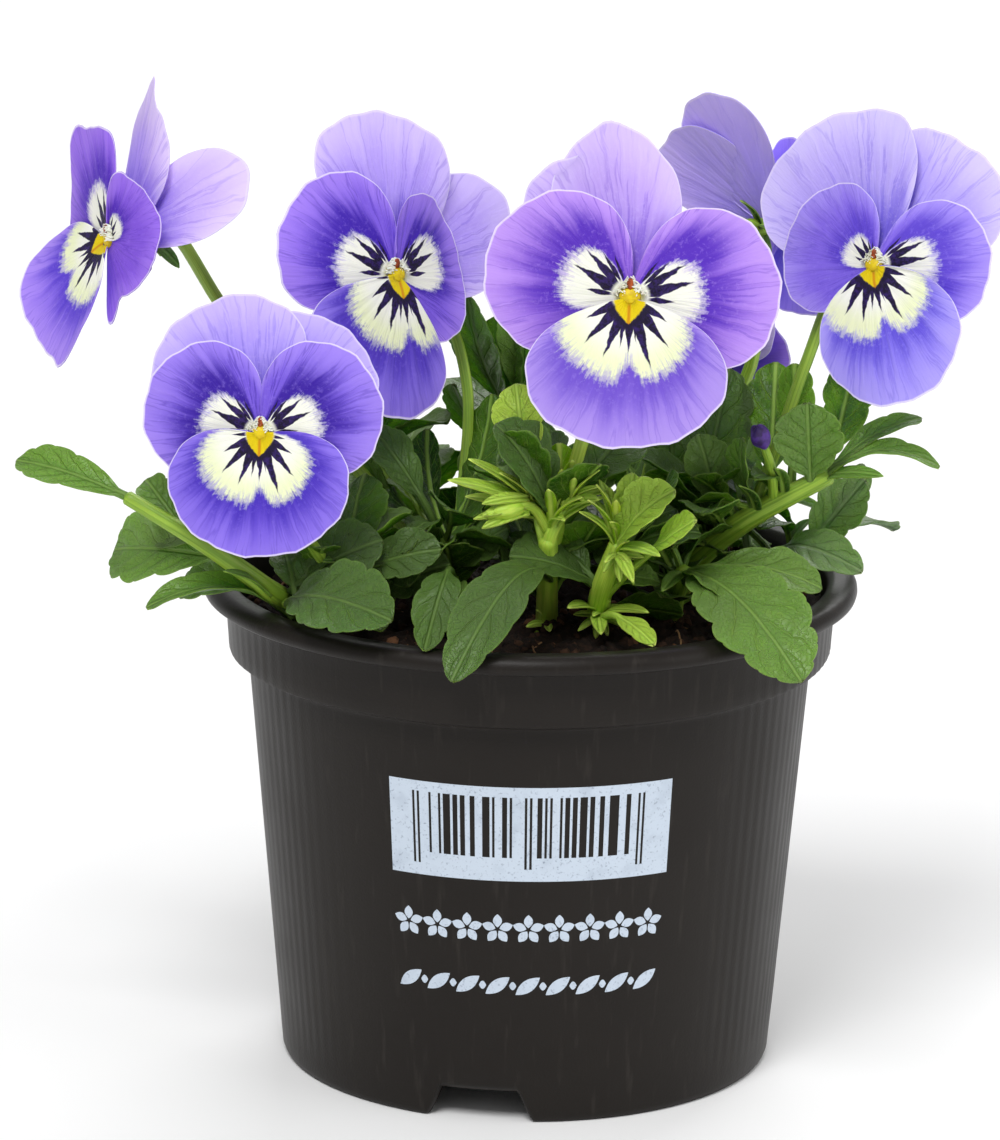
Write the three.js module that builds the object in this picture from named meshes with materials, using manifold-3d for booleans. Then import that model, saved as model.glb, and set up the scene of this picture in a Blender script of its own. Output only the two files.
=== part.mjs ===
// Potted horned pansy: a round nursery pot, its soil, seven blooms and the leafy shoots that carry them.
// Millimetres, +Z up. The front faces -Y. Everything below is set out from the pot's axis, with the
// ground at zero; the finished planter is then moved so that the middle of its whole spread on the
// ground is the origin.
import * as THREE from 'three';
import { mergeVertices } from 'three/addons/utils/BufferGeometryUtils.js';
import Module from 'manifold-3d';

const wasm = await Module();
wasm.setup();

// ---------------------------------------------------------------------------------------------
// Driving dimensions
// ---------------------------------------------------------------------------------------------
const GAP = 0.3; // between neighbouring pieces
const POT_OFFSET = [4, 1.15]; // the pot's axis from the middle of the plant's spread

const RIM_RADIUS = 50; // pot: outer edge of the rolled lip
const POT_HEIGHT = 76;
const LIP_HEIGHT = 2.8;
const COLLAR_RADIUS = 46.6; // the straight band under the lip
const COLLAR_BOTTOM = 64.6;
const BODY_TOP_RADIUS = 43.2;
const FOOT_RADIUS = 37.6;
const POT_WALL = 1.1;
const BASE_RISE = 5.2; // underside of the base plate above the ground
const BASE_THICKNESS = 1.3;
const FLUTE_COUNT = 24; // shallow upright flutes, two wall facets each
const FLUTE_DEPTH = 0.3;
const POT_FACETS = 2 * FLUTE_COUNT;
const NOTCH_WIDTH_LOW = 16.6; // three feet notches under the wall
const NOTCH_WIDTH_HIGH = 12;
const NOTCH_HEIGHT = 4.8;
const NOTCH_TURN = -10.8; // degrees from the front, to the left
const DRAIN_RADIUS = 3.2;
const DRAIN_RING = 22;

const SOIL_TOP = 70;
const SOIL_RELIEF = 0.9;

const BLADE = 0.7; // thickness of leaves and petals
const STEM_SIDES = 6;
const STALK_SIDES = 4;
const STALK_RADIUS = 0.85;
const CORE_RADIUS = 2.4; // throat of a bloom, which its petals grow from
const RECEPTACLE_RADIUS = 1.9;
const RECEPTACLE_BACK = 5.35; // behind the throat, along the bloom's axis
const RECEPTACLE_UP = 1.1;
const SEPAL_LENGTH = 7.4;
const PETAL_FACETS = 12;
const PETAL_CLAW_FACETS = 3;
const LAYER_REACH = 1.6; // distance over which petals step off each other
const PETAL_EDGE = 0.97; // share of the petal's spread that its outline uses

// ---------------------------------------------------------------------------------------------
// Colours
// ---------------------------------------------------------------------------------------------
const COLOUR = {
  pot: 0x2b2827, soil: 0x2c1c14, violet: 0x6f55c8, lilac: 0x8f78dc, bud: 0x3b2468,
  dark: 0x2f5420, leaf: 0x3f6e2a, fresh: 0x6f9e34, grey: 0x5f7f55,
};

// ---------------------------------------------------------------------------------------------
// Solids
// ---------------------------------------------------------------------------------------------
const vec = (p) => new THREE.Vector3(p[0], p[1], p[2]);
const deg = THREE.MathUtils.degToRad;
const Z = new THREE.Vector3(0, 0, 1);

/** Twice the enclosed volume's sign decides whether the triangles of a closed mesh face out. */
function facesOut(points, triangles) {
  let volume = 0;
  const n = new THREE.Vector3();
  for (const [a, b, c] of triangles) {
    volume += points[a].dot(n.crossVectors(points[b], points[c]));
  }
  return volume > 0;
}

/** A closed BufferGeometry from points and triangles, turned so that its faces point out. */
function closedGeometry(points, triangles) {
  const out = facesOut(points, triangles);
  const geometry = new THREE.BufferGeometry().setFromPoints(points);
  geometry.setIndex(triangles.flatMap(([a, b, c]) => (out ? [a, b, c] : [a, c, b])));
  return geometry;
}

/** A closed geometry as a solid that can be joined and cut. */
function solid(geometry) {
  const bare = geometry.clone();
  for (const name of Object.keys(bare.attributes)) if (name !== 'position') bare.deleteAttribute(name);
  const merged = mergeVertices(bare, 1e-4);
  const index = Array.from(merged.index.array);
  const kept = [];
  for (let i = 0; i < index.length; i += 3) {
    const [a, b, c] = index.slice(i, i + 3);
    if (a !== b && b !== c && a !== c) kept.push(a, b, c);
  }
  return new wasm.Manifold(new wasm.Mesh({
    numProp: 3, vertProperties: new Float32Array(merged.attributes.position.array), triVerts: new Uint32Array(kept),
  }));
}

/** A joined or cut solid as a geometry. */
function geometryOf(body) {
  const mesh = body.getMesh();
  const geometry = new THREE.BufferGeometry();
  geometry.setAttribute('position', new THREE.BufferAttribute(new Float32Array(mesh.vertProperties), 3));
  geometry.setIndex(new THREE.BufferAttribute(new Uint32Array(mesh.triVerts), 1));
  return geometry;
}

/** Joins solids one after another. */
const join = (solids) => solids.reduce((whole, piece) => whole.add(piece));

/** Triangles between two rows of points of any lengths, stepping along whichever row lags. */
function stitch(first, firstCount, second, secondCount) {
  const triangles = [];
  let [i, j] = [0, 0];
  while (i < firstCount - 1 || j < secondCount - 1) {
    const nextFirst = firstCount > 1 ? (i + 1) / (firstCount - 1) : 2;
    const nextSecond = secondCount > 1 ? (j + 1) / (secondCount - 1) : 2;
    const mirrored = nextFirst === nextSecond && nextFirst <= 0.5;
    if (nextFirst < nextSecond || mirrored) triangles.push([first + i, first + ++i, second + j]);
    else triangles.push([first + i, second + j + 1, second + j++]);
  }
  return triangles;
}

/** A thin closed sheet: rows of points, each row with a normal along which it is given its thickness. */
function sheet(rows, thickness) {
  const points = [];
  for (const side of [1, -1]) {
    for (const { row, normal } of rows) {
      for (const point of row) points.push(point.clone().addScaledVector(normal, side * thickness / 2));
    }
  }
  const half = points.length / 2;
  const triangles = [];
  const rim = [];
  const left = [];
  let start = 0;
  rows.forEach(({ row }, k) => {
    const end = start + row.length - 1;
    if (k === 0) for (let q = start; q < end; q++) rim.push(q);
    if (k === rows.length - 1) for (let q = end; q > start; q--) rim.push(q);
    else {
      rim.push(end);
      for (const [a, b, c] of stitch(start, row.length, end + 1, rows[k + 1].row.length)) {
        triangles.push([a, b, c], [a + half, c + half, b + half]);
      }
    }
    if (k > 0) left.unshift(start);
    start = end + 1;
  });
  rim.push(...left);
  rim.forEach((p, k) => {
    const q = rim[(k + 1) % rim.length];
    triangles.push([p, q + half, q], [p, p + half, q + half]);
  });
  return solid(closedGeometry(points, triangles));
}

/** A tapering round rod along a curve, with flat ends. */
function rod(curve, radiusStart, radiusEnd, steps, sides) {
  const centres = curve.getSpacedPoints(steps);
  const frames = curve.computeFrenetFrames(steps, false);
  const points = [];
  centres.forEach((centre, i) => {
    const radius = radiusStart + (radiusEnd - radiusStart) * i / steps;
    for (let k = 0; k < sides; k++) {
      const angle = 2 * Math.PI * k / sides;
      points.push(centre.clone()
        .addScaledVector(frames.normals[i], radius * Math.cos(angle))
        .addScaledVector(frames.binormals[i], radius * Math.sin(angle)));
    }
  });
  const triangles = [];
  for (let i = 0; i < steps; i++) {
    for (let k = 0; k < sides; k++) {
      const next = (k + 1) % sides;
      const [a, b, c, d] = [i * sides + k, i * sides + next, (i + 1) * sides + next, (i + 1) * sides + k];
      triangles.push([a, b, c], [a, c, d]);
    }
  }
  const last = steps * sides;
  for (let k = 1; k < sides - 1; k++) triangles.push([0, k + 1, k], [last, last + k, last + k + 1]);
  return solid(closedGeometry(points, triangles));
}

/** A small closed ball. */
function ball(centre, radius, axis = Z, stretch = 1, detail = 0) {
  const geometry = new THREE.IcosahedronGeometry(radius, detail);
  geometry.scale(1, 1, stretch);
  geometry.applyQuaternion(new THREE.Quaternion().setFromUnitVectors(Z, axis));
  geometry.translate(centre.x, centre.y, centre.z);
  return solid(geometry);
}

// ---------------------------------------------------------------------------------------------
// Leaves, stipules and sepals
// ---------------------------------------------------------------------------------------------

/** The direction a blade runs, its upper normal turned by roll degrees, and its side. */
function bladeFrame(base, tip, roll) {
  const along = tip.clone().sub(base).normalize();
  const up = Math.abs(along.z) > 0.95 ? new THREE.Vector3(0, 1, 0) : Z.clone();
  const normal = up.addScaledVector(along, -up.dot(along)).normalize();
  const side = new THREE.Vector3().crossVectors(along, normal);
  const turn = deg(roll);
  return {
    normal: normal.clone().multiplyScalar(Math.cos(turn)).addScaledVector(side, Math.sin(turn)),
    side: side.clone().multiplyScalar(Math.cos(turn)).addScaledVector(normal, -Math.sin(turn)),
  };
}

/**
 * A stalked leaf with a rounded, scalloped blade. The midrib is an arc from base to tip; the half
 * width grows from the petiole, is widest past the middle and closes in a round tip, with each
 * scallop reaching out between two cuts; the two halves fold up from the midrib by cup.
 */
function leaf(baseAt, tipAt, width, roll, petiole, bow, cup, teeth) {
  const base = vec(baseAt);
  const tip = vec(tipAt);
  const { normal, side } = bladeFrame(base, tip, roll);
  const run = tip.clone().sub(base);
  const stations = [[0, 0]];
  if (petiole > 0.3) stations.push([petiole / 2, 0]);
  stations.push([petiole, 0]);
  const cuts = 2 * (teeth + 1);
  for (let k = 1; k <= cuts; k++) {
    const share = Math.sin(Math.PI / 2 * k / cuts);
    const outline = Math.sqrt(Math.sin(Math.PI * share ** 1.5)) * (k % 2 ? 1 : 1 - LEAF_NOTCH);
    stations.push([petiole + (1 - petiole) * share, k === cuts ? 0 : outline]);
  }
  const rows = stations.map(([t, outline]) => {
    const middle = base.clone().addScaledVector(run, t).addScaledVector(normal, bow * 4 * t * (1 - t));
    const tangent = run.clone().addScaledVector(normal, bow * 4 * (1 - 2 * t)).normalize();
    const across = side.clone().addScaledVector(tangent, -side.dot(tangent)).normalize();
    const above = new THREE.Vector3().crossVectors(across, tangent);
    const half = Math.max(width * outline, PETIOLE_HALF);
    const fold = half > 2 * PETIOLE_HALF ? cup : 0;
    const places = t === 1 ? [0] : outline ? [-1, 0, 1] : [-1, 1];
    const row = places.map((s) => middle.clone()
      .addScaledVector(across, s * half * Math.sqrt(1 - 0.5 * fold * fold))
      .addScaledVector(above, fold * s * s * half));
    return { row, normal: above };
  });
  return sheet(rows, BLADE);
}
const LEAF_NOTCH = 0.13;
const PETIOLE_HALF = 0.75;

/** A slender pointed lobe, flat below and ridged above, bent up by a little. */
function lobe(base, tip, width, bend = 0.8) {
  const { normal, side } = bladeFrame(base, tip, 0);
  const points = [];
  for (const [t, share] of [[0, 0.55], [0.45, 1]]) {
    const middle = base.clone().lerp(tip, t).addScaledVector(normal, bend * t);
    for (const [s, n] of [[1, -0.4], [0, 0.7], [-1, -0.4]]) {
      points.push(middle.clone().addScaledVector(side, s * share * width)
        .addScaledVector(normal, n * BLADE));
    }
  }
  points.push(tip);
  const triangles = [[0, 2, 1]];
  for (let k = 0; k < 3; k++) {
    const next = (k + 1) % 3;
    triangles.push([k, next, next + 3], [k, next + 3, k + 3], [k + 3, next + 3, 6]);
  }
  return solid(closedGeometry(points, triangles));
}

// ---------------------------------------------------------------------------------------------
// Blooms
// ---------------------------------------------------------------------------------------------

/** The right, up and outward directions of a bloom that faces az degrees to the right of the
 *  front and el degrees above the horizon, turned by roll degrees about its axis. */
function bloomFrame(az, el, roll) {
  const out = new THREE.Vector3(
    Math.sin(deg(az)) * Math.cos(deg(el)), -Math.cos(deg(az)) * Math.cos(deg(el)), Math.sin(deg(el)));
  const up = Z.clone().addScaledVector(out, -out.z).normalize();
  const right = new THREE.Vector3().crossVectors(up, out);
  const [c, s] = [Math.cos(deg(roll)), Math.sin(deg(roll))];
  return {
    right: right.clone().multiplyScalar(c).addScaledVector(up, s),
    up: up.clone().multiplyScalar(c).addScaledVector(right, -s),
    out,
  };
}

/**
 * One petal. Its outline in polar form is length * sqrt(1 - |angle / spread|^power); it leans by
 * tilt, bows by cup across and by bend along, waves at its edge, and steps off its neighbours by
 * layer, which grows within a few millimetres of the throat.
 */
function petal(throat, frame, [clock, length, spread, power, tilt, cup, bend, wave, waves, phase, layer]) {
  const a = frame.right.clone().multiplyScalar(Math.cos(deg(clock)))
    .addScaledVector(frame.up, Math.sin(deg(clock)));
  const side = frame.right.clone().multiplyScalar(Math.sin(deg(clock)))
    .addScaledVector(frame.up, -Math.cos(deg(clock)));
  const along = a.clone().multiplyScalar(Math.cos(deg(tilt))).addScaledVector(frame.out, Math.sin(deg(tilt)));
  const normal = frame.out.clone().multiplyScalar(Math.cos(deg(tilt))).addScaledVector(a, -Math.sin(deg(tilt)));
  const rows = [[0.08, PETAL_CLAW_FACETS], [0.2, PETAL_CLAW_FACETS], [1, PETAL_FACETS]].map(([rho, facets]) => {
    const row = [];
    for (let j = 0; j <= facets; j++) {
      const angle = deg(spread) * PETAL_EDGE * Math.sin(Math.PI / 2 * (2 * j / facets - 1));
      const reach = rho * length * Math.sqrt(1 - Math.abs(angle / deg(spread)) ** power);
      const x = reach * Math.sin(angle);
      const height = layer * (1 - Math.exp(-reach / LAYER_REACH)) + cup * x * x / length
        + bend * reach * reach / length + wave * length * rho ** 3 * Math.sin(waves * angle + phase);
      row.push(throat.clone().addScaledVector(side, x)
        .addScaledVector(along, reach * Math.cos(angle)).addScaledVector(normal, height));
    }
    return { row, normal };
  });
  return sheet(rows, BLADE);
}

/** All petals of a bloom fused to its throat, with the spur behind. */
function bloom({ throat: at, az, el, roll = 0, petals }) {
  const throat = vec(at);
  const frame = bloomFrame(az, el, roll);
  const spurEnd = throat.clone().addScaledVector(frame.out, -6.4).addScaledVector(frame.up, -4.2);
  const spurStart = throat.clone().addScaledVector(frame.out, -1);
  return join([
    ball(throat.clone().addScaledVector(frame.out, -0.8), CORE_RADIUS),
    ...petals.map((shape) => petal(throat, frame, shape)),
    rod(new THREE.LineCurve3(spurStart, spurEnd), 1.1, 0.7, 1, STALK_SIDES),
  ]);
}

/** Receptacle, five sepals and the hooked flower stalk behind one bloom. */
function calyx({ throat: at, az, el, roll = 0, sepals = SEPAL_CLOCKS }, path) {
  const frame = bloomFrame(az, el, roll);
  const centre = vec(at).addScaledVector(frame.out, -RECEPTACLE_BACK).addScaledVector(frame.up, RECEPTACLE_UP);
  const crook = centre.clone().addScaledVector(frame.out, -3.2).addScaledVector(Z, 1.6);
  const curve = new THREE.CatmullRomCurve3([...path.map(vec), crook, centre], false, 'centripetal');
  return join([
    ball(centre, RECEPTACLE_RADIUS),
    rod(curve, STALK_RADIUS * 1.15, STALK_RADIUS, 6, STALK_SIDES),
    ...sepals.map((clock) => {
      const away = frame.right.clone().multiplyScalar(Math.cos(deg(clock)))
        .addScaledVector(frame.up, Math.sin(deg(clock)));
      const lean = away.clone().multiplyScalar(0.8).addScaledVector(frame.out, -0.6);
      return lobe(centre.clone().addScaledVector(lean, 0.6),
        centre.clone().addScaledVector(lean, SEPAL_LENGTH), 1.1, 0.5);
    }),
  ]);
}
const SEPAL_CLOCKS = [90, 20, 160, 222, 318];

// Petals: clock, length, spread, power, tilt, cup, bend, wave, waves, phase, layer.
// Upper pair, side pair, lower petal.
const BLOOMS = {
  centre: {
    throat: [14, -30, 125.6], az: -4, el: 16, colour: COLOUR.lilac,
    petals: [
      [121, 24.2, 42, 2.5, -7, -0.04, -0.1, 0.02, 4, 0.9, -2.6],
      [101, 28, 51, 1.2, -9, 0, -0.1, 0.02, 4, 0, -1.4],
      [161, 22.7, 76, 1.65, -4, 0, -0.06, 0.02, 3, 0, 0],
      [8, 22.2, 69, 2.15, -3, 0, -0.12, 0.02, 3, 0.5, 0.2],
      [269, 22.3, 74, 3.6, 1, -0.03, 0.02, 0.015, 5, 0, 1.6],
    ],
  },
  low_left: {
    throat: [-40, -34, 105.5], az: -2, el: 15, colour: COLOUR.violet,
    petals: [
      [52, 20.5, 58, 2.6, -8, 0, -0.1, 0.02, 4, 0.5, -2.6],
      [116, 21.8, 64, 2.6, -8, 0, -0.1, 0.02, 4, 1.5, -1.4],
      [157, 18.2, 72, 2, -3, -0.06, -0.06, 0.02, 3, 0, 0],
      [23, 18.6, 72, 2, -3, -0.06, -0.06, 0.02, 3, 2, 0.2],
      [269, 18.2, 98, 2.6, 0, -0.1, -0.04, 0.02, 5, 0, 1.3],
    ],
  },
  left: {
    throat: [-20.8, -6, 123.2], az: 34, el: 14, colour: COLOUR.violet,
    petals: [
      [16, 29.8, 41, 1.6, -6, 0, -0.08, 0.02, 4, -1, -3.6],
      [78, 25.8, 49, 3, -9, -0.03, -0.02, 0.02, 4, 0.6, -1.8],
      [144, 19.6, 69, 2.5, -5, -0.05, -0.08, 0.02, 3, -0.8, 0],
      [4, 15.4, 87, 3.6, -10, 0.22, -0.14, 0.04, 3, -0.5, 0.2],
      [240, 22, 61, 3.6, 4, -0.06, 0, 0.02, 5, -2, 1.6],
    ],
  },
  right: {
    throat: [50.6, -14, 127.2], az: -26, el: 18, colour: COLOUR.lilac,
    petals: [
      [76, 23.6, 68, 2.7, -13, -0.06, -0.05, 0.02, 4, 1, -3],
      [129, 27.5, 54, 3, -13, 0, -0.03, 0.02, 4, 2.3, -1.7],
      [165, 17.4, 75, 2.1, -8, 0, -0.12, 0.01, 3, -0.9, 0],
      [10, 17.6, 67, 2.2, -4, -0.04, -0.1, 0.02, 3, -1.3, 0.2],
      [292, 21.4, 71, 1.7, 0, -0.06, -0.1, 0.02, 5, 1.6, 1.6],
    ],
  },
  far_left: {
    throat: [-63.5, -8, 128.5], az: -68, el: 6, colour: COLOUR.violet, sepals: [90, 160, 222, 318],
    petals: [
      [104, 23.4, 62, 1.2, -6, -0.22, -0.06, 0.03, 4, 0.9, -2.6],
      [40, 25.5, 32, 1.6, -23, 0.25, -0.1, 0.05, 4, 3.8, -1.6],
      [146, 19.6, 59, 3, 8, 0, -0.06, 0.03, 3, 0.3, 0],
      [22, 13.6, 92, 3, -12.5, 0.06, -0.02, 0.05, 3, 5.5, 0.4],
      [237, 20.5, 69, 2.2, 12, -0.1, 0.12, 0.055, 5, -0.3, 1.3],
    ],
  },
  back_right: {
    throat: [38.5, 19.5, 126], az: 138, el: 8, colour: COLOUR.lilac,
    petals: [
      [72, 24.5, 40, 2.4, -8, 0, -0.1, 0.02, 4, 0.5, -2.6],
      [42, 22.5, 40, 2.4, -14, 0, -0.1, 0.02, 4, 1.5, -1.4],
      [112, 16, 40, 2, 0, 0, -0.1, 0.02, 3, 0, 0],
      [350, 13, 62, 2, 0, 0, -0.1, 0.02, 3, 2, 0.2],
      [262, 15, 80, 2.6, 8, -0.1, -0.1, 0.02, 5, 0, 1.3],
    ],
  },
  back: {
    throat: [27, 28, 103.5], az: 155, el: 5, roll: 10, colour: COLOUR.violet,
    petals: [
      [60, 17, 52, 2.4, -6, 0, -0.1, 0.02, 4, 0.5, -2.6],
      [120, 17, 52, 2.4, -6, 0, -0.1, 0.02, 4, 1.5, -1.4],
      [165, 15, 62, 2, 0, 0, -0.1, 0.02, 3, 0, 0],
      [15, 15, 62, 2, 0, 0, -0.1, 0.02, 3, 2, 0.2],
      [270, 15, 85, 2.6, 10, -0.1, -0.1, 0.02, 5, 0, 1.3],
    ],
  },
};

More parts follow.
